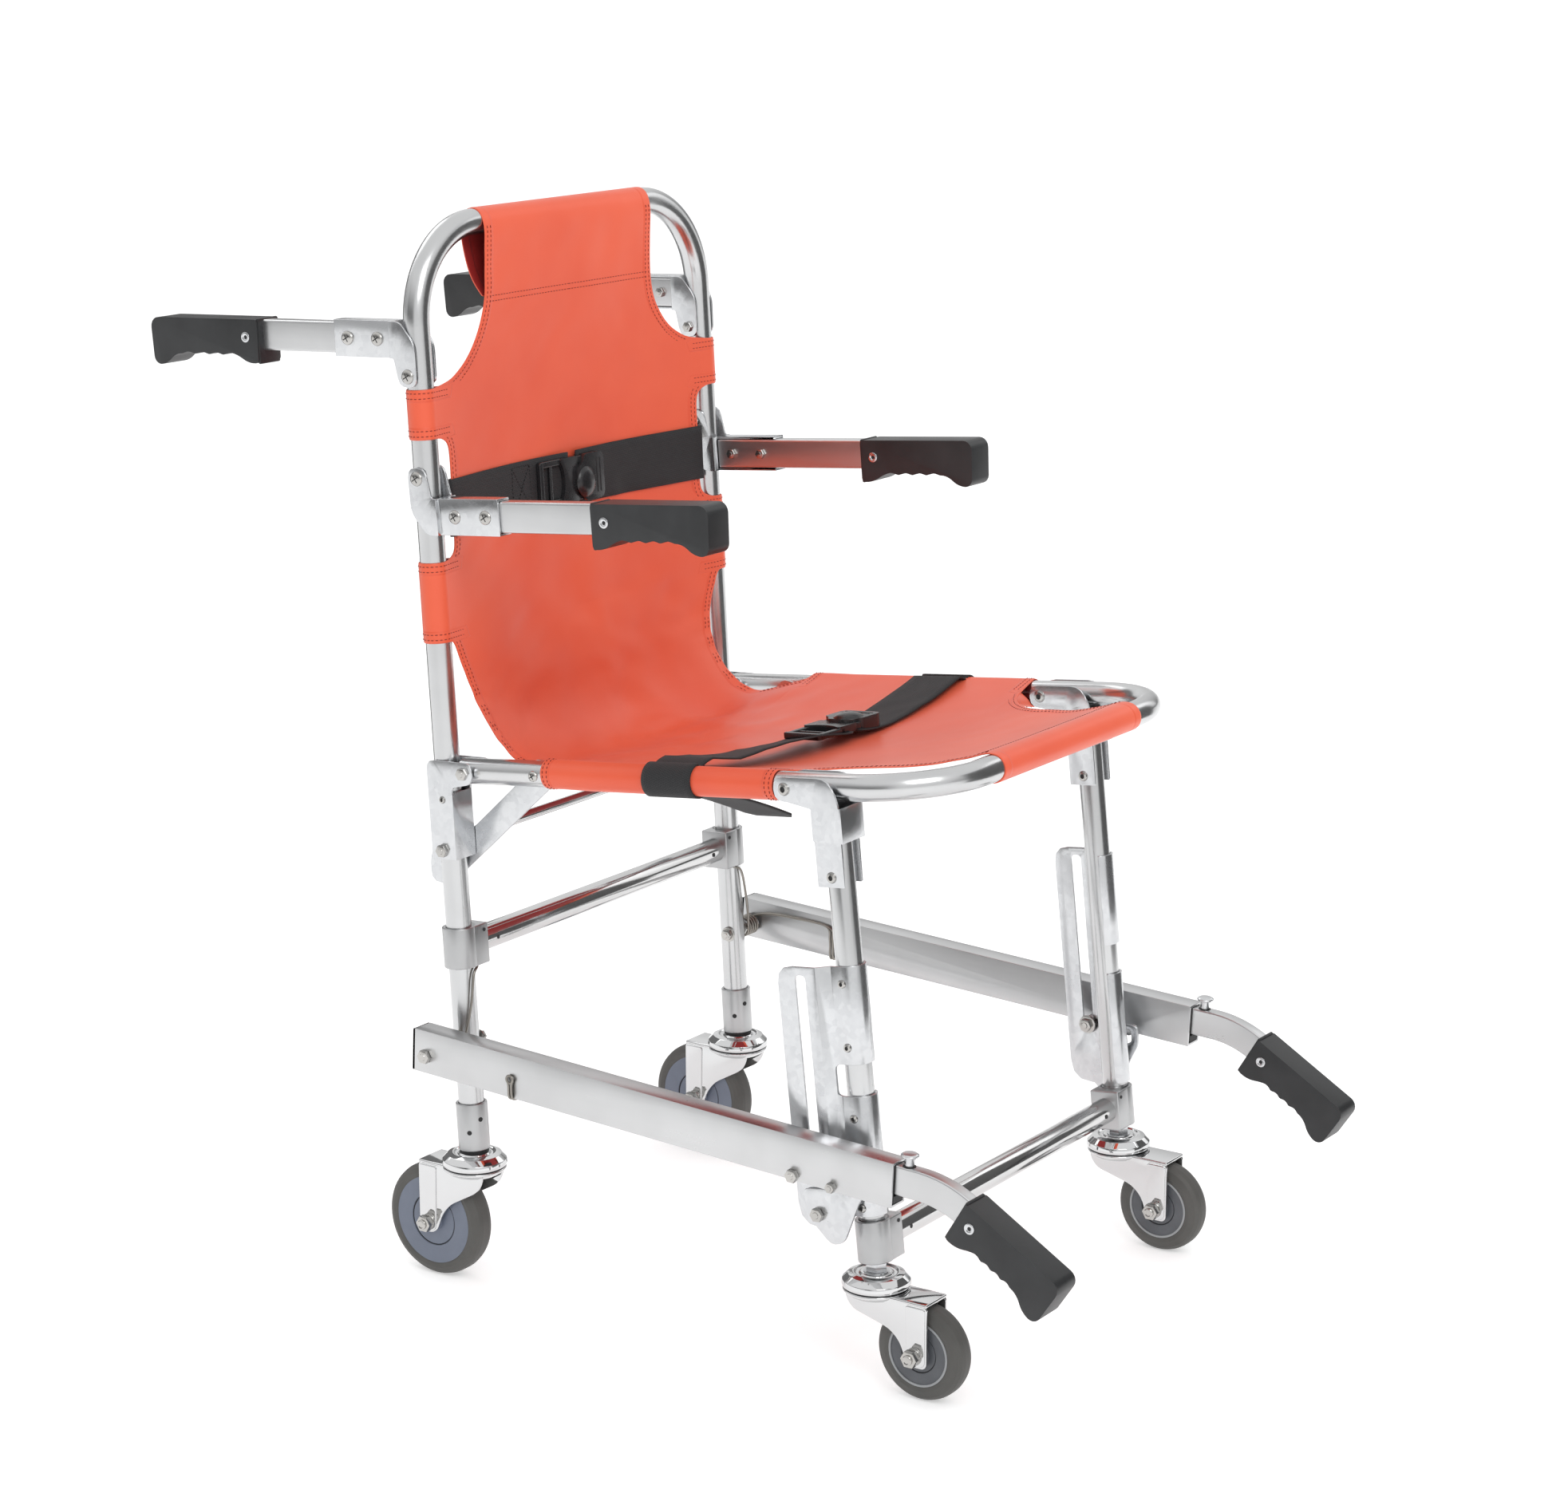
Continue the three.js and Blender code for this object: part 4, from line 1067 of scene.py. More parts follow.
# ------------------------------------------------------------------ sling
CLOTH_R = 12.0  # middle of the cloth round a tube
MEET = -12.0  # degrees, where the cloth leaves the flat and starts round a tube
TUBE_DROP = CLOTH_R * math.cos(math.radians(MEET))  # from the cloth's edge down to a tube's axis
CLOTH_EDGE = HALF_TRACK + CLOTH_R * math.sin(math.radians(MEET))
SLING_START = -100.0
SLING_END = 962.0
HEAD_HALF = 117.0
FRONT_HALF = 112.0
OPENING_HALF = 177.0
WRAPS = [(129.5, 171.5), (273.5, 341.5), (509.6, 742.6)]
WRAP_STEPS = 18
WRAP_TURN = 247.0  # degrees round the tube
TUCK_STEPS = 3
TUCK = 14.0  # width of the sewn tuck behind the cloth
TUCK_END = HALF_TRACK - 2 * TUCK + 4
HEM_INSETS = (0.0, 2.0, 5.0, 8.6, 10.8)
INNER_COLUMNS = 26
FAR_IN = 40.0  # counts as well inside the hems
FOLD_ZONE = (345, 505)  # where the free edges pucker
PUCKER_WIDTH = 34
FLAT_ENDS = (5, 862)  # the flaps beyond these lie smooth


class Track:
    """A smooth line through (position, value) stations."""

    def __init__(self, stations):
        self.at = [s for s, _ in stations]
        self.value = [v for _, v in stations]
        slopes = [(b - a) / (t - s) for s, t, a, b in zip(self.at, self.at[1:], self.value, self.value[1:])]
        self.slope = [slopes[0]]
        for i in range(1, len(slopes)):
            before, after = self.at[i] - self.at[i - 1], self.at[i + 1] - self.at[i]
            self.slope.append((slopes[i - 1] * after + slopes[i] * before) / (before + after))
        self.slope.append(slopes[-1])

    def __call__(self, s):
        i = 0
        while i < len(self.at) - 2 and s > self.at[i + 1]:
            i += 1
        span = self.at[i + 1] - self.at[i]
        t = min(max((s - self.at[i]) / span, 0.0), 1.0)
        a, b = self.value[i], self.value[i + 1]
        m, n = self.slope[i] * span, self.slope[i + 1] * span
        return (a * (2 * t ** 3 - 3 * t * t + 1) + m * (t ** 3 - 2 * t * t + t)
                + b * (3 * t * t - 2 * t ** 3) + n * (t ** 3 - t * t))


def side_view(place, y, z):
    """A point of the chair's side view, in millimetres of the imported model."""
    point = place @ Vector((0, y, z)) / MM
    return Vector((0, point.y, point.z))


def over_bar(start, place, y, z, begin):
    """Stations of the half turn round the head or front bar."""
    rows = []
    for k in range(9):
        angle = math.radians(begin + 22.5 * k)
        spot = (y + CLOTH_R * math.cos(angle), z + CLOTH_R * math.sin(angle))
        rows.append((start + 38 * k / 8, place, spot, spot))
    return rows


def cloth_stations():
    """Where the cloth runs, edge and middle, along its length from the head flap to the front flap."""
    rows = [(SLING_START, BACK, (-9.5, 842), (-4.0, 842)),
            (-88, BACK, (1, 854), (4, 854)), (-64, BACK, (11, 880), (11.5, 880))]
    rows += over_bar(-38, BACK, 0, BACK_TOP, 0)
    edge = -TUBE_DROP
    rows += [(30, BACK, (edge, 874), (-10, 874)), (62, BACK, (edge, 842), (-6.5, 842)),
             (104, BACK, (edge, 800), (0, 800)), (164, BACK, (edge, 740), (5, 740)),
             (204, BACK, (edge, 700), (7, 700)), (304, BACK, (edge, 600), (6, 600)),
             (342, BACK, (edge, 562), (3.5, 560)), (382, BACK, (-13, 522), (-2, 518)),
             (424, BACK, (-31, 487), (-12, 476)), (443, BACK, (-46, 472), (-25, 456)),
             (464, BACK, (-64, 462), (-46, 443)), (505, SEAT, (-75.4, -edge), (-72, -13)),
             (560, SEAT, (-130.4, -edge), (-129, -13.5)), (640, SEAT, (-210.4, -edge), (-210, -13)),
             (742, SEAT, (-312.4, -edge), (-312, -9.3)), (782, SEAT, (-352, -edge), (-352, -6.5)),
             (830, SEAT, (-400, -edge), (-400, -2)), (862, SEAT, (-433, -edge), (-433, 6))]
    rows += over_bar(885, SEAT, -SEAT_LENGTH, 0, 90)
    rows += [(940, SEAT, (-440, -9), (-440, -9)), (SLING_END, SEAT, (-419, 0.0), (-419, -1.0))]
    return rows


def quarter(centre, radius, base, way):
    """Stations of a concave quarter circle that flares from base out to the tube."""
    made = []
    for k in range(9):
        angle = math.radians(90 * k / 8)
        s = centre + way * radius * math.sin(angle)
        made.append((s, base + radius * (1 - math.cos(angle))))
    return made if way > 0 else made[::-1]


def cloth_sides():
    """The cloth's half width between its wraps, one track for each free stretch."""
    (neck, low), (high, hip), (fold, knee) = WRAPS
    head = Track([(SLING_START, HEAD_HALF), (40, HEAD_HALF)] + quarter(53, 76.3, HEAD_HALF, 1))
    round_in = quarter(low + 13, 13, OPENING_HALF, -1)
    round_out = quarter(high - 13, 13, OPENING_HALF, 1)
    opening = Track(round_in + [(220, OPENING_HALF)] + round_out)
    waist = Track([(hip, 193), (345, 190), (352, 187), (365, 181), (382, 175), (403, 170), (424, 168.5),
                   (443, 169), (464, 173), (484, 180), (500, 185), (fold, 190)])
    front = Track(quarter(knee + 62, 62, 123, -1) + [(835, 117), (862, FRONT_HALF), (SLING_END, FRONT_HALF)])
    return [(SLING_START, neck, head), (low, high, opening), (hip, fold, waist), (knee, SLING_END, front)]


class Cloth:
    """The sling as a flat pattern: s runs down its length, w across it, both in millimetres."""

    def __init__(self):
        rows = cloth_stations()
        self.tracks = {}
        for key, pick in (("edge", 2), ("middle", 3)):
            spots = [(row[0], side_view(row[1], *row[pick])) for row in rows]
            self.tracks[key] = (Track([(s, p.y) for s, p in spots]), Track([(s, p.z) for s, p in spots]))
        self.free = cloth_sides()

    def line(self, key, s):
        y, z = self.tracks[key]
        return Vector((0, y(s), z(s)))

    def wrapped(self, s):
        return any(low <= s <= high for low, high in WRAPS)

    def half(self, s):
        """Half of the cloth's width where it lies free, or up to the tube where it wraps."""
        if self.wrapped(s):
            return CLOTH_EDGE
        for low, high, track in self.free:
            if low <= s <= high:
                return track(s)
        raise ValueError(f"no cloth at {s}")

    def normal(self, s):
        ahead = self.line("edge", s + 1.5) - self.line("edge", s - 1.5)
        return Vector((0, ahead.z, -ahead.y)).normalized()

    def tube_axis(self, s):
        """The axis of the tube beside the cloth, in the middle of the chair."""
        return self.line("edge", s) - self.normal(s) * TUBE_DROP

    def flat_point(self, s, x):
        """A point of the hung cloth."""
        q = min(abs(x) / HALF_TRACK, 1.0)
        edge, mid = self.line("edge", s), self.line("middle", s)
        point = mid.lerp(edge, q ** 2.3)
        point.x = x
        loose = max(0.0, 1 - abs(s - 420) / 230)
        lift = noise.noise(Vector((x * 0.017, s * 0.013, 4.2))) * (1.0 + 3.4 * loose)
        fold = noise.noise(Vector((x * 0.022 + s * 0.011, s * 0.028 - abs(x) * 0.015, 9.1)))
        lift += (0.35 + 1.9 * loose) * (1 - abs(fold) * 3.2)
        inset = FAR_IN if self.wrapped(s) else self.half(s) - abs(x)
        begin, end = FOLD_ZONE
        if begin < s < end and inset < PUCKER_WIDTH:
            pucker = math.sin(s * 0.36 + 1.4 * noise.noise(Vector((s * 0.05, x * 0.01, 2.0))))
            fade = math.sin(math.pi * (s - begin) / (end - begin))
            lift += pucker * 1.7 * (1 - inset / PUCKER_WIDTH) ** 1.4 * fade
        if s < FLAT_ENDS[0] or s > FLAT_ENDS[1]:
            lift = 0.0
        return point + self.normal(s) * lift * min(1.0, 4 * (1 - q))

    def wrap_point(self, s, sign, t):
        """A point of the sleeve, t from 0 at the flat to 1 at the end of its tuck."""
        n = self.normal(s)
        centre = self.tube_axis(s)
        share = WRAP_STEPS / (WRAP_STEPS + TUCK_STEPS)
        angle = math.radians(MEET + (WRAP_TURN - MEET) * min(t / share, 1.0))
        point = centre + n * CLOTH_R * math.cos(angle)
        x = HALF_TRACK + CLOTH_R * math.sin(angle)
        if t > share:
            goal = self.flat_point(s, TUCK_END) - n * 1.6
            k = (t - share) / (1 - share)
            point = point.lerp(Vector((0, goal.y, goal.z)), k)
            x = x + (TUCK_END - x) * k
        point.x = x * sign
        return point


def cloth_rows(cloth):
    """Positions of the cloth's rows, closer where its outline turns."""
    bounds = [SLING_START]
    for low, high in WRAPS:
        bounds += [low, high]
    bounds.append(SLING_END)
    rows = []
    for low, high in zip(bounds, bounds[1:]):
        inner_low, inner_high = low, high
        if not cloth.wrapped((low + high) / 2):
            inner_low, inner_high = low + 0.05, high - 0.05
        count = max(6, round((high - low) / 6.0))
        for k in range(count + 1):
            t = k / count
            t = 0.5 * t + 0.25 * (1 - math.cos(math.pi * t))
            rows.append(inner_low + (inner_high - inner_low) * t)
    return rows


def grid_cells(shape, across, along):
    """The column and row of every point of a fresh grid."""
    cells = {}
    for vert in shape.verts:
        cells[vert] = (round((vert.co.x + 1) / 2 * (across - 1)), round((vert.co.y + 1) / 2 * (along - 1)))
    return cells


def pattern_columns():
    """Signed column positions: (share of the inner width, inset from the edge)."""
    columns = [(-1, inset) for inset in HEM_INSETS]
    columns += [(step / INNER_COLUMNS * 2 - 1, None) for step in range(1, INNER_COLUMNS)]
    return columns + [(1, inset) for inset in reversed(HEM_INSETS)]


HEM_SEAMS = (3.2, 7.6)  # rows of stitches inside every edge
SEAMS_RUN = (4.0, 880.0)
FLAP_SEAMS = (62, 66.5, 872)
THREAD_LIFT = 0.75


def stitch(piece, size, place):
    """One bead of thread."""
    bead = bmesh.new()
    bmesh.ops.create_icosphere(bead, subdivisions=1, radius=1.0, matrix=Matrix.Diagonal((*size, 1)))
    piece.add(bead, WORLD @ place)


class STAIRCHAIR_OT_sling(bpy.types.Operator):
    """Cuts, hangs and sews the cloth sling"""

    bl_idname = "stairchair.sling"
    bl_label = "Sling"

    def execute(self, context):
        sizes = context.scene.stairchair_sizes
        cloth = Cloth()
        rows = cloth_rows(cloth)
        columns = pattern_columns()
        wrap = WRAP_STEPS + TUCK_STEPS
        across = len(columns) + 2 * wrap
        shape = bmesh.new()
        bmesh.ops.create_grid(shape, x_segments=across - 1, y_segments=len(rows) - 1, size=1.0)
        inset_layer = shape.verts.layers.float.new("edge_mm")
        cells = grid_cells(shape, across, len(rows))
        for vert, (i, j) in cells.items():
            s = rows[j]
            gap = min(abs(s - bound) for pair in WRAPS for bound in pair)
            if wrap <= i < across - wrap:
                share, inset = columns[i - wrap]
                half = cloth.half(s)
                x = share * (half - (HEM_INSETS[-1] if inset is None else inset))
                vert.co = cloth.flat_point(s, x) * MM
                near = FAR_IN if cloth.wrapped(s) else half - abs(x)
                if cloth.wrapped(s) and abs(x) > OPENING_HALF - 12:
                    near = gap
            else:
                sign = -1 if i < wrap else 1
                step = wrap - i if i < wrap else i - (across - wrap) + 1
                vert.co = cloth.wrap_point(s, sign, step / wrap) * MM if cloth.wrapped(s) else Vector()
                near = gap
            vert[inset_layer] = near
        unused = []
        for face in shape.faces:
            spots = [cells[v] for v in face.verts]
            beside = any(not wrap <= i < across - wrap for i, _ in spots)
            if beside and not all(cloth.wrapped(rows[j]) for _, j in spots):
                unused.append(face)
        bmesh.ops.delete(shape, geom=unused, context="FACES")
        bmesh.ops.remove_doubles(shape, verts=shape.verts, dist=1e-6)
        bmesh.ops.recalc_face_normals(shape, faces=shape.faces)
        front = max(shape.faces, key=lambda f: f.calc_area())
        if front.normal.y > 0 or front.normal.z < -0.5:
            bmesh.ops.reverse_faces(shape, faces=shape.faces)
        flat_area = sum(f.calc_area() for f in shape.faces)
        piece = object_from(shape, "sling", [FINISHES["sling"], FINISHES["shaded_underside"]])
        piece.data.shade_smooth()
        skin = piece.modifiers.new("cloth thickness", "SOLIDIFY")
        skin.thickness = sizes.cloth_thickness
        skin.offset = 0.0
        # The shell's other face takes the darker red of painted shade.
        skin.material_offset = 1
        skin.material_offset_rim = 0
        smooth = piece.modifiers.new("smooth cloth", "SUBSURF")
        smooth.levels = 1
        smooth.render_levels = 1
        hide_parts("sling_back", "sling_seat")
        self.fold(piece)
        self.fold(self.stitches(cloth, sizes.stitch_pitch / MM))
        return {"FINISHED"}

    def fold(self, piece):
        """Bakes a piece's place into its mesh."""
        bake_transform(piece)

    def stitches(self, cloth, pitch):
        """Runs two rows of stitches along every edge, and the seams of both flaps."""
        runs = []
        for inset in HEM_SEAMS:
            for low, high, track in cloth.free:
                begin, end = max(low, SEAMS_RUN[0]), min(high, SEAMS_RUN[1])
                count = int((end - begin) / 1.5)
                line = []
                for k in range(count + 1):
                    s = begin + (end - begin) * k / count
                    slope = track(min(s + 0.5, end)) - track(max(s - 0.5, begin))
                    scale = 1 / math.sqrt(1 + slope * slope)
                    line.append((s + slope * scale * inset, track(s) - inset * scale, None))
                runs.append([p for p in line if begin <= p[0] <= end])
            for low, high in WRAPS:
                for s in (low + inset, high - inset):
                    flat = [(s, x, None) for x in (OPENING_HALF - 2, 184.0, 190.0, 195.0)]
                    runs.append(flat + [(s, 0, t / 40) for t in range(1, 30)])
        for s in FLAP_SEAMS:
            half = cloth.half(s) - 4
            runs.append([(s, x, None) for x in range(0, int(half), 4)])
        piece = Piece("thread")
        for run in runs:
            for sign in (-1, 1):
                self.sew(piece, cloth, run, sign, pitch)
        return piece.build("sling_stitching", slot="orange_sling")

    def sew(self, piece, cloth, run, sign, pitch):
        """Lays stitches along one run, a little proud of the cloth."""
        spots = []
        for s, x, t in run:
            if t is None:
                point = cloth.flat_point(s, sign * x)
                out = cloth.normal(s)
            else:
                point = cloth.wrap_point(s, sign, t)
                hub = cloth.tube_axis(s)
                hub.x = sign * HALF_TRACK
                out = (point - hub).normalized()
            spots.append(point + out * THREAD_LIFT)
        travelled, due = 0.0, 1.0
        for a, b in zip(spots, spots[1:]):
            length = (b - a).length
            while length > 0 and due <= travelled + length:
                centre = a.lerp(b, (due - travelled) / length)
                ahead = (b - a).normalized()
                turn = ahead.to_track_quat("Z", "Y").to_matrix().to_4x4()
                stitch(piece, (0.36, 0.36, pitch * 0.36), Matrix.Translation(centre) @ turn)
                due += pitch
            travelled += length


# ------------------------------------------------------------------ belts
CHEST_AT = 231.5  # along the cloth
LAP_AT = 646.0
LAP_MIDDLE = 24.0  # the lap buckle sits left of the middle
LAP_WRAP = 0.7396  # share of the sleeve that the lap belt goes round
STRAP_LIFT = 1.75
STRAP_ROWS = 9


def strap(name, rows, body, replaces=(), thickness=1.5 * MM):
    """Flat webbing from rows of points that each run across it, with its own UV map in metres."""
    shape = bmesh.new()
    across, along = len(rows[0]), len(rows)
    bmesh.ops.create_grid(shape, x_segments=across - 1, y_segments=along - 1, size=1.0)
    travelled = [0.0]
    for a, b in zip(rows, rows[1:]):
        travelled.append(travelled[-1] + (a[across // 2] - b[across // 2]).length)
    layer = shape.loops.layers.uv.new("UVMap")
    width = (rows[0][0] - rows[0][-1]).length
    spots = grid_cells(shape, across, along)
    for face in shape.faces:
        for loop in face.loops:
            i, j = spots[loop.vert]
            loop[layer].uv = (travelled[j] * MM, width * i / (across - 1) * MM)
    for vert, (i, j) in spots.items():
        vert.co = rows[j][i] * MM
    bmesh.ops.recalc_face_normals(shape, faces=shape.faces)
    piece = Piece("webbing")
    piece.mesh.free()
    piece.mesh = shape
    made = piece.build(name, body, replaces, "black_webbing", 60)
    skin = made.modifiers.new("webbing thickness", "SOLIDIFY")
    skin.thickness = thickness
    skin.offset = 0.0
    return made


def taper(rows, reach=7.0):
    """Rounds the corners of the last row's end."""
    done = 0.0
    end = rows[-1]
    for i in range(len(rows) - 1, 0, -1):
        if done > reach:
            break
        share = 1 - 0.26 * (1 - min(done / reach, 1.0)) ** 2
        centre = rows[i][len(end) // 2]
        rows[i] = [centre + (point - centre) * share for point in rows[i]]
        done += (rows[i][0] - rows[i - 1][0]).length
    return rows


class STAIRCHAIR_OT_belts(bpy.types.Operator):
    """Weaves both belts round the sling and hangs their buckles on them"""

    bl_idname = "stairchair.belts"
    bl_label = "Belts and buckles"

    def execute(self, context):
        width = context.scene.stairchair_sizes.belt_width / MM
        cloth = Cloth()
        steps = [width * (i / (STRAP_ROWS - 1) - 0.5) for i in range(STRAP_ROWS)]
        for side, sign in SIDES.items():
            for label, body, rows in [("chest", "chair_back", self.chest(cloth, sign, steps)),
                                      ("lap", "seat", self.lap(cloth, sign, steps))]:
                strap(f"{label}_strap_{side}", rows, body, [f"{label}_belt"] if sign > 0 else ())
        self.box_stitch(cloth, width / 2 - 4)
        chest = cloth.flat_point(CHEST_AT, 0)
        lean = turned_by(-BACK_LEAN, "X")
        self.buckle("chest_clasp", "chair_back", "chest_buckle", chest + Vector((-3, -4.4, 0)), lean)
        lap = cloth.flat_point(LAP_AT, LAP_MIDDLE)
        flat = turned_by(-SEAT_RISE, "X") @ turned_by(-90, "X") @ turned_by(5, "Y")
        self.buckle("lap_clasp", "seat", "lap_buckle", lap + Vector((0, 0, 11.5)), flat)
        return {"FINISHED"}

    def chest(self, cloth, sign, steps):
        """Half of the chest belt: from the buckle, round the edge of the cloth and behind it."""
        reach = OPENING_HALF + 1.4
        line = []
        for k in range(40):
            x = 6 + (reach - 6) * k / 39
            line.append((x, STRAP_LIFT + 4.5 * max(0.0, 1 - x / 70) ** 2))
        for k in range(1, 8):
            angle = math.pi * k / 8
            line.append((reach + STRAP_LIFT * math.sin(angle), STRAP_LIFT * math.cos(angle)))
        line += [(reach - 62 * k / 15, -STRAP_LIFT) for k in range(16)]
        return taper([[self.over(cloth, CHEST_AT + w, sign * x, lift) for w in steps] for x, lift in line])

    def lap(self, cloth, sign, steps):
        """Half of the lap belt: from the buckle, round the sleeve and down to its loose end."""
        rows = []
        lean = 0.03
        edge = sign * CLOTH_EDGE
        start = LAP_MIDDLE + sign * 6
        for k in range(48):
            x = start + (edge - start) * k / 47
            near = abs(x - LAP_MIDDLE)
            rim = abs(edge - x)
            slack = min(0.36 * rim, 6.5) if sign < 0 else min(0.55 * rim, 5.0) * max(0.0, 1 - rim / 130) ** 0.5
            slack = max(slack, 8.5 * max(0.0, 1 - near / 90) ** 2)
            roll = 0.16 * math.sin(math.pi * min(near / 165, 1.0)) if sign < 0 else 0.0
            row = []
            for w in steps:
                s = LAP_AT + w + (x - LAP_MIDDLE) * lean
                row.append(self.over(cloth, s, x, STRAP_LIFT + slack + roll * (w + 24) + 0.1 * roll * near))
            rows.append(row)
        slide = (edge - LAP_MIDDLE) * lean
        for k in range(1, 19):
            t = LAP_WRAP * k / 18
            row = []
            for w in steps:
                s = LAP_AT + w + slide
                point = cloth.wrap_point(s, sign, t)
                hub = cloth.tube_axis(s)
                hub.x = sign * HALF_TRACK
                row.append(point + (point - hub).normalized() * STRAP_LIFT)
            rows.append(row)
        drop, length = (48.0, 132.0) if sign < 0 else (22.0, 46.0)
        last = rows[-1]
        for k in range(1, 15):
            t = k / 14
            rows.append([point + Vector((-sign * length * t, 0, -drop * t ** 1.25)) for point in last])
        return taper(rows)

    def box_stitch(self, cloth, half):
        """Sews a crossed box where the right chest strap is doubled."""
        near, far = -84.0, -58.0
        corners = [(near, -half), (far, -half), (near, half), (far, half),
                   (near, -half), (near, half), (far, -half), (far, half)]
        piece = Piece("dark")
        for (x0, w0), (x1, w1) in zip(corners, corners[1:]):
            count = int(math.hypot(x1 - x0, w1 - w0) / 3.2)
            slant = math.degrees(math.atan2(w1 - w0, x1 - x0))
            turn = turned_by(-BACK_LEAN, "X") @ turned_by(slant, "Y")
            for k in range(count):
                t = (k + 0.5) / count
                s = CHEST_AT + w0 + (w1 - w0) * t
                spot = self.over(cloth, s, x0 + (x1 - x0) * t, STRAP_LIFT + 0.95)
                stitch(piece, (1.25, 0.35, 0.35), Matrix.Translation(spot) @ turn)
        piece.build("chest_strap_stitching", "chair_back", slot="black_webbing")

    def over(self, cloth, s, x, lift):
        """A point above or below the cloth, also just past its free edge."""
        inner = max(min(x, OPENING_HALF + 8), -OPENING_HALF - 8)
        point = cloth.flat_point(s, inner)
        point.x = x
        return point + cloth.normal(s) * lift

    def buckle(self, name, body, node, centre, turn):
        """A side release clasp: X runs along the belt and -Y faces outwards."""
        place = WORLD @ Matrix.Translation(centre) @ turn
        face_out = turned_by(-90, "Z")
        piece = Piece("plastic", "dark")

        def slab(points, low, high, edge=1.2, finish=None):
            """A slab with a (along, across, radius) outline between two heights above the belt."""
            piece.add(plate(points, low, high, edge, 3), place @ face_out, finish)

        for low, high in [(14.5, 20), (-20, -14.5)]:
            slab([(-45, low, 2.5), (-10, low, 1), (-10, high, 1), (-45, high, 2.5)], -1, 4.2, 1.2)
        slab([(-46, -20, 3), (-40.5, -20, 1), (-40.5, 20, 1), (-46, 20, 3)], -1, 4.6, 1.4)
        slab(oblong(-31, -17, -27.5, 17, 1), 0.6, 3.4, 0.8)
        slab([(-20, 20, 5), (-13, 10, 9), (-13, -10, 9), (-20, -20, 5), (6, -20, 2), (6, 20, 2)], -1, 5.6, 1.6)
        body_line = [(2, -9, 3), (10, -13.5, 3), (13, -20.5, 3), (37, -20.5, 5), (40, -16, 3), (40, 16, 3),
                     (37, 20.5, 5), (13, 20.5, 3), (10, 13.5, 3), (2, 9, 3)]
        slab(body_line, -3.6, 8.0, 2.0)
        for way in (-1, 1):
            prong = [(0, way * 12, 2), (4, way * 19.2, 3), (13, way * 19.4, 2), (13, way * 13, 1)]
            slab(prong if way < 0 else prong[::-1], -1.6, 5.0, 1.2)
        lens = turned([(0, 4.6), (4, 4.3), (8, 3.0), (10.6, 1.0), (11, 0), (0, 0)], 36)
        spot = place @ shift(14.5, -7.4, -4) @ turned_by(90, "X") @ Matrix.Diagonal((1.2, 1.25, 1, 1))
        piece.add(lens, spot)
        # Two grooves across the top, painted as dark slabs of shade.
        for along in (29.5, 34.0):
            slab(oblong(along, -15, along + 1.2, 15, 0.4), 7.6, 8.3, 0.2, "dark")
        piece.build(name, body, [node], "black_plastic")


# ------------------------------------------------------------------ springs
COIL_R = 8.6
COIL_TURNS = 4.75
COIL_STEPS = 90
HOOK_X = 253.8
LOOP_X = 254.6  # the hook's end loop lies on a beam's outer face


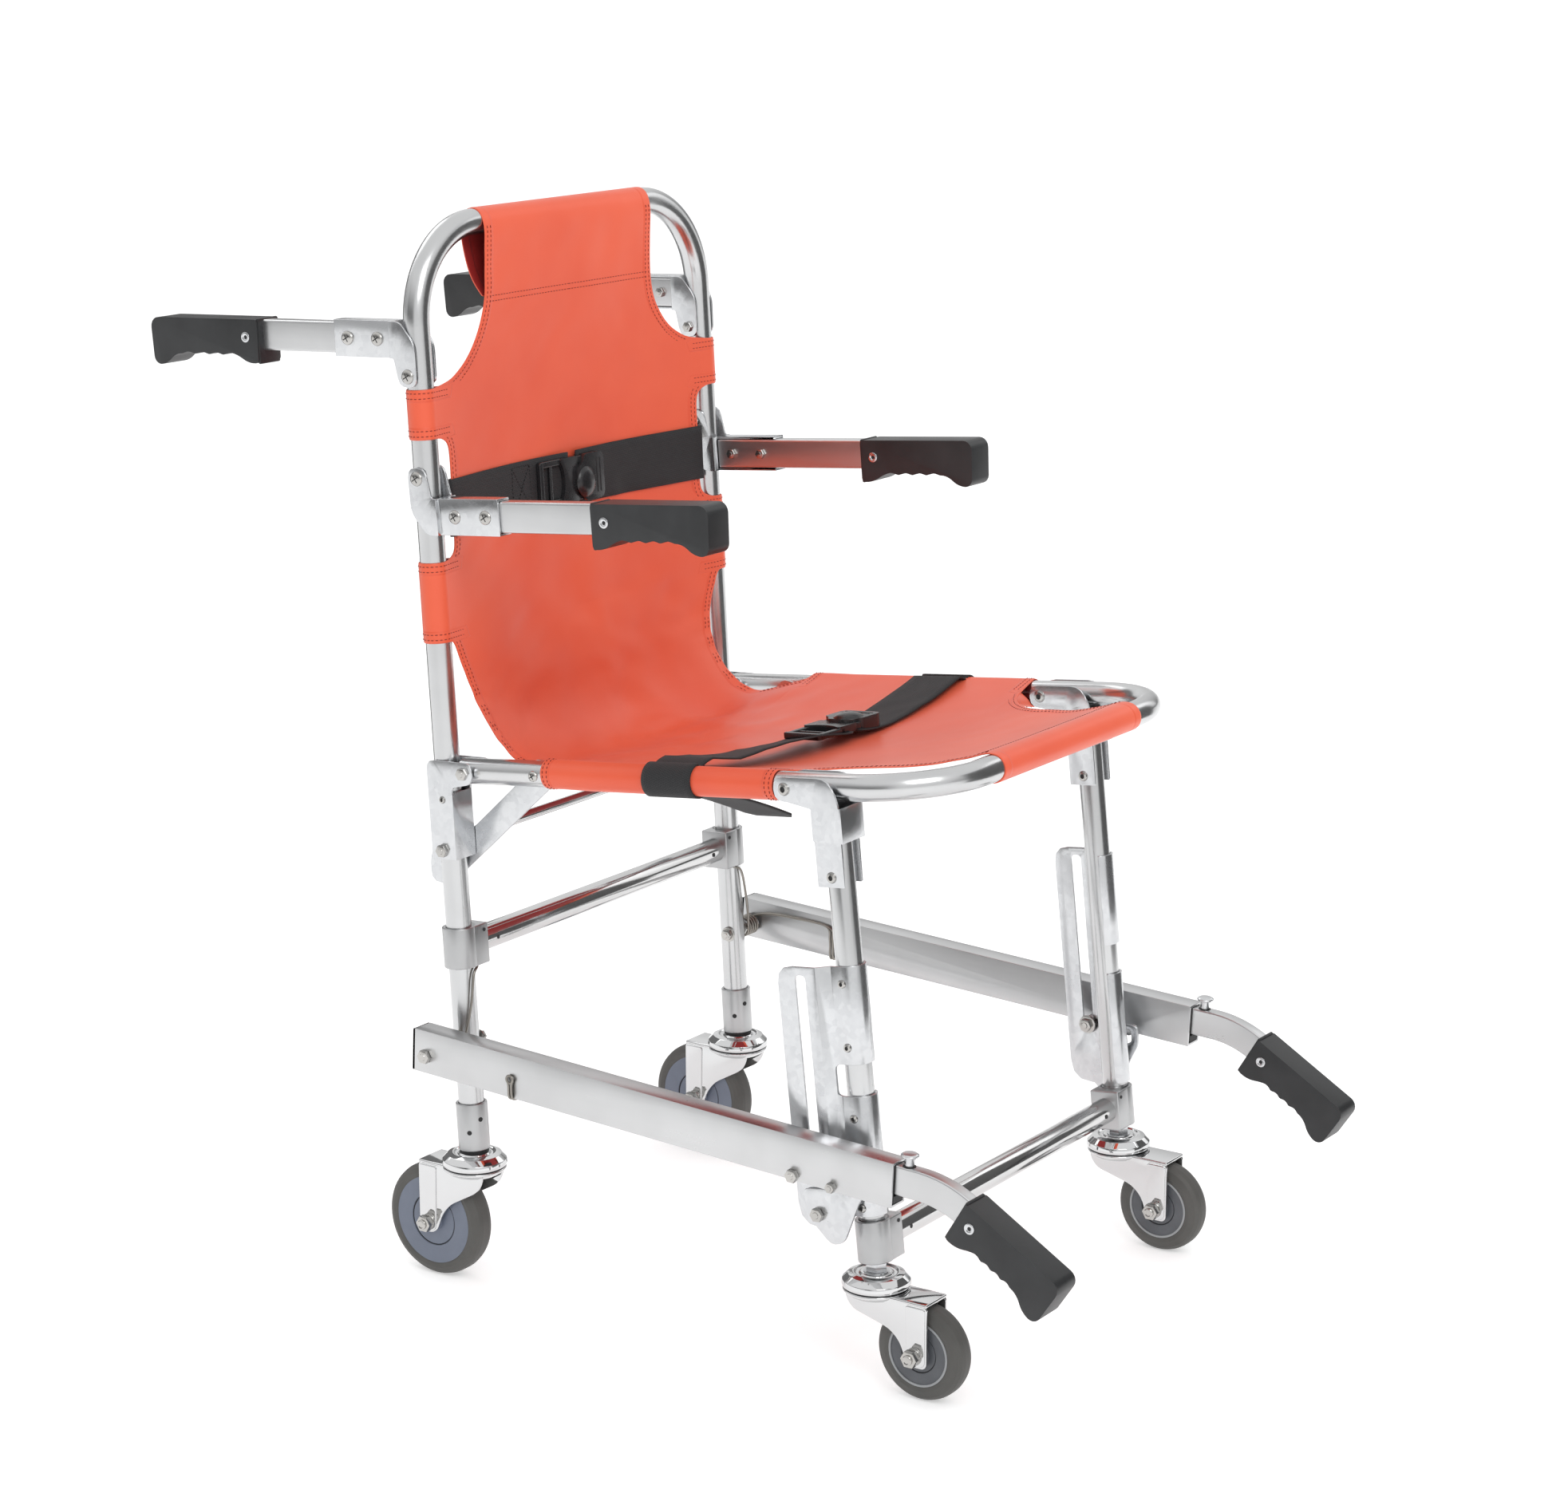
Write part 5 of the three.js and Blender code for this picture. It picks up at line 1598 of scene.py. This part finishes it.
class STAIRCHAIR_OT_springs(bpy.types.Operator):
    """Winds the wire springs of the side beams and of the folding braces"""

    bl_idname = "stairchair.springs"
    bl_label = "Springs"

    def execute(self, context):
        for side, sign in SIDES.items():
            pivot = BEAMS.translation / MM
            coil = []
            for k in range(COIL_STEPS + 1):
                angle = math.tau * COIL_TURNS * k / COIL_STEPS + math.radians(170)
                x = sign * (212.5 + 17.5 * k / COIL_STEPS)
                coil.append(pivot + Vector((x, COIL_R * math.cos(angle), COIL_R * math.sin(angle))))
            up = [(209.5, -10.6, 232), (204.5, -13.0, 252), (199, -13.2, 276), (190.5, -10.8, 282),
                  (185.6, -2.0, 285), (187.5, 6.5, 287)]
            upper = spline([BACK @ Vector((sign * x, y, z)) / MM for x, y, z in up], 7)
            piece = Piece("wire")
            piece.add(wire(coil, (1, 0, 0), 1.15), WORLD)
            piece.add(wire([coil[0]] + upper, (0.3, 1, 0.1), 1.15), WORLD)
            piece.build(f"torsion_spring_{side}", "chair_back", slot="zinc_plate", smooth=60)
            piece = Piece("wire")
            for gap in (0.0, 3.0):
                low = [(231.2 - gap, 8.4, 2), (231.4 - gap, -14, 12), (231.6 - gap * 0.6, -50, 15),
                       (231.4, -83 - gap, 14), (231.2, -88 - gap, 2), (231.4, -89 - gap, -14),
                       (236, -89.5 - gap, -17), (247, -90 - gap, -17), (HOOK_X, -90.5 - gap, -14),
                       (LOOP_X, -90 - gap, -4), (LOOP_X, -88 - gap * 2, 1.5)]
                route = spline([Vector((sign * x, y, z)) for x, y, z in low], 6)
                piece.add(wire(route, (0.2, 0.3, 1)), BEAMS)
            loop = []
            for k in range(-10, 11):
                angle = k / 10 * math.pi
                loop.append(Vector((sign * LOOP_X, -91 + 3.2 * math.sin(angle), 1.5 + 3.2 * math.cos(angle))))
            piece.add(wire(loop, (1, 0, 0)), BEAMS)
            piece.build(f"spring_arm_{side}", f"beam_{side}", slot="zinc_plate", smooth=60)
            piece = Piece("wire", "dark", "bolt")
            x = sign * 178.6
            line = [(132.0, 417.5), (127.0, 413.5), (124.5, 407.0), (129, 399), (141, 389.5), (151, 383.5)]
            route = spline([Vector((x, y, z)) for y, z in line], 7)
            piece.add(wire(route, (1, 0, 0)), WORLD)
            hub = joint_point("seat_lock_release") / MM
            curl = [hub + Vector((sign * (176.5 + 3.6 * k / 60), 6.2 * math.cos(k / 6), 6.2 * math.sin(k / 6)))
                    for k in range(61)]
            piece.add(wire(curl, (1, 0, 0)), WORLD)
            rivet(piece, facing(WORLD, sign * 181.6, 188.0, 358.4, -sign), 3.4, 1.8)
            piece.build(f"brace_spring_{side}", "seat_lock", slot="zinc_plate", smooth=60)
        return {"FINISHED"}


# ------------------------------------------------------------------ stage
class Sky(Finish):
    """The lamps' surroundings, written with the same expressions as a material."""

    def __init__(self, world):
        world.use_nodes = True
        self.tree = world.node_tree
        self.shader = self.tree.nodes["Background"]


CARDS = [("right_card", 34.2, 1.7, 0.10), ("left_card", 162.0, 1.0, 0.16)]  # azimuth, width, tone
FILL_POWER = 8.0
RIM_POWER = 14.0
CAMERA_AIM = (-23.5, -60.7, 465.1)
CAMERA_DISTANCE = 3.1513  # metres
CAMERA_TURN = (-55.8, 13.5, -0.2)  # azimuth, elevation and roll in degrees


class STAIRCHAIR_OT_stage(bpy.types.Operator):
    """Lays the floor, hangs the lamps and sets up the camera"""

    bl_idname = "stairchair.stage"
    bl_label = "Stage"

    def execute(self, context):
        settings = context.scene.stairchair_stage
        shape = bmesh.new()
        bmesh.ops.create_circle(shape, cap_ends=True, segments=64, radius=60.0)
        paper = Finish("pale_floor", settings.floor_colour, 0.9)
        paper.set("Emission Color", (1, 1, 1, 1))
        paper.set("Emission Strength", settings.floor_glow)
        floor = object_from(shape, "floor", [paper])
        for spec in CARDS:
            self.card(*spec)
        self.lamps(context, settings)
        self.camera(context)
        return {"FINISHED"}

    def card(self, name, azimuth, width, tone):
        """Stands a dark card beside the chair that only shows in bright metal."""
        shape = bmesh.new()
        bmesh.ops.create_grid(shape, x_segments=1, y_segments=1, size=0.5)
        stand = turned_by(azimuth, "Z") @ shift(0, -1.5, 0.75) @ turned_by(90, "X")
        shape.transform(stand @ Matrix.Diagonal((width, 1.5, 1, 1)))
        card = object_from(shape, name, [Finish(name, (tone, tone, tone), 0.9)])
        card.visible_camera = False
        card.visible_diffuse = False
        card.visible_shadow = False

    def lamps(self, context, settings):
        world = bpy.data.worlds.new("studio")
        context.scene.world = world
        sky = Sky(world)
        x, y, z = sky.parts(sky.node("ShaderNodeTexCoord", output="Generated"))
        bands = ((x * 2.3 + y * 1.1 + 0.4).sine() * (y * 3.1 - x * 0.9).sine()).spread(-0.35, 0.35)
        wall = bands * 0.9 + 0.16
        overhead = z.spread(0.12, 0.62)
        sky.set("Color", (1, 1, 1, 1))
        seen = sky.node("ShaderNodeLightPath")
        glow = (wall * (1 - overhead) + overhead * 1.15) * settings.sky_strength
        sky.set("Strength", glow * (1 - seen) + seen)
        aim = Vector((0, 0, 0.45))
        lamps = [("key_lamp", (-1.6, -2.2, 2.8), 1.6, settings.key_power),
                 ("fill_lamp", (2.6, -1.2, 1.6), 1.8, FILL_POWER),
                 ("rim_lamp", (0.6, 2.6, 2.4), 1.8, RIM_POWER)]
        for name, at, size, power in lamps:
            lamp = bpy.data.lights.new(name, "AREA")
            lamp.size = size
            lamp.energy = power
            holder = bpy.data.objects.new(name, lamp)
            holder.location = at
            holder.rotation_euler = (aim - Vector(at)).to_track_quat("-Z", "Y").to_euler()
            context.scene.collection.objects.link(holder)
        context.scene.view_settings.view_transform = "Standard"

    def camera(self, context):
        azimuth, elevation, roll = (math.radians(angle) for angle in CAMERA_TURN)
        aim = Vector(CAMERA_AIM) * MM
        away = Vector((math.sin(azimuth) * math.cos(elevation), -math.cos(azimuth) * math.cos(elevation),
                       math.sin(elevation)))
        data = bpy.data.cameras.new("camera")
        data.lens = 85.6
        data.sensor_width = 36.0
        data.clip_end = 50.0
        camera = bpy.data.objects.new("camera", data)
        turn = (-away).to_track_quat("-Z", "Y").to_matrix().to_4x4()
        stand = Matrix.Translation(aim + away * CAMERA_DISTANCE)
        camera.matrix_world = stand @ turn @ Matrix.Rotation(roll, 4, "Z")
        context.scene.collection.objects.link(camera)
        context.scene.camera = camera


# ------------------------------------------------------------------ panel
class STAIRCHAIR_PT_panel(bpy.types.Panel):
    """Lists the steps that build the chair"""

    bl_idname = "STAIRCHAIR_PT_panel"
    bl_label = "Stair Chair"
    bl_space_type = "VIEW_3D"
    bl_region_type = "UI"
    bl_category = "Stair Chair"

    def draw(self, context):
        for group in (context.scene.stairchair_sizes, context.scene.stairchair_stage):
            for name in group.__annotations__:
                self.layout.prop(group, name)
        for operator in OPERATORS:
            self.layout.operator(operator.bl_idname)


OPERATORS = (STAIRCHAIR_OT_tubes, STAIRCHAIR_OT_castings, STAIRCHAIR_OT_casters, STAIRCHAIR_OT_plates,
             STAIRCHAIR_OT_handles, STAIRCHAIR_OT_beams, STAIRCHAIR_OT_fasteners, STAIRCHAIR_OT_sling,
             STAIRCHAIR_OT_belts, STAIRCHAIR_OT_springs, STAIRCHAIR_OT_stage)
CLASSES = (StairChairSizes, StairChairStage, *OPERATORS, STAIRCHAIR_PT_panel)


def register():
    for item in CLASSES:
        bpy.utils.register_class(item)
    bpy.types.Scene.stairchair_sizes = bpy.props.PointerProperty(type=StairChairSizes)
    bpy.types.Scene.stairchair_stage = bpy.props.PointerProperty(type=StairChairStage)


def unregister():
    del bpy.types.Scene.stairchair_stage
    del bpy.types.Scene.stairchair_sizes
    for item in reversed(CLASSES):
        bpy.utils.unregister_class(item)


def main():
    register()
    FINISHES.update(make_finishes())
    for operator in OPERATORS:
        group, name = operator.bl_idname.split(".")
        getattr(getattr(bpy.ops, group), name)()


if __name__ == "__main__":
    main()
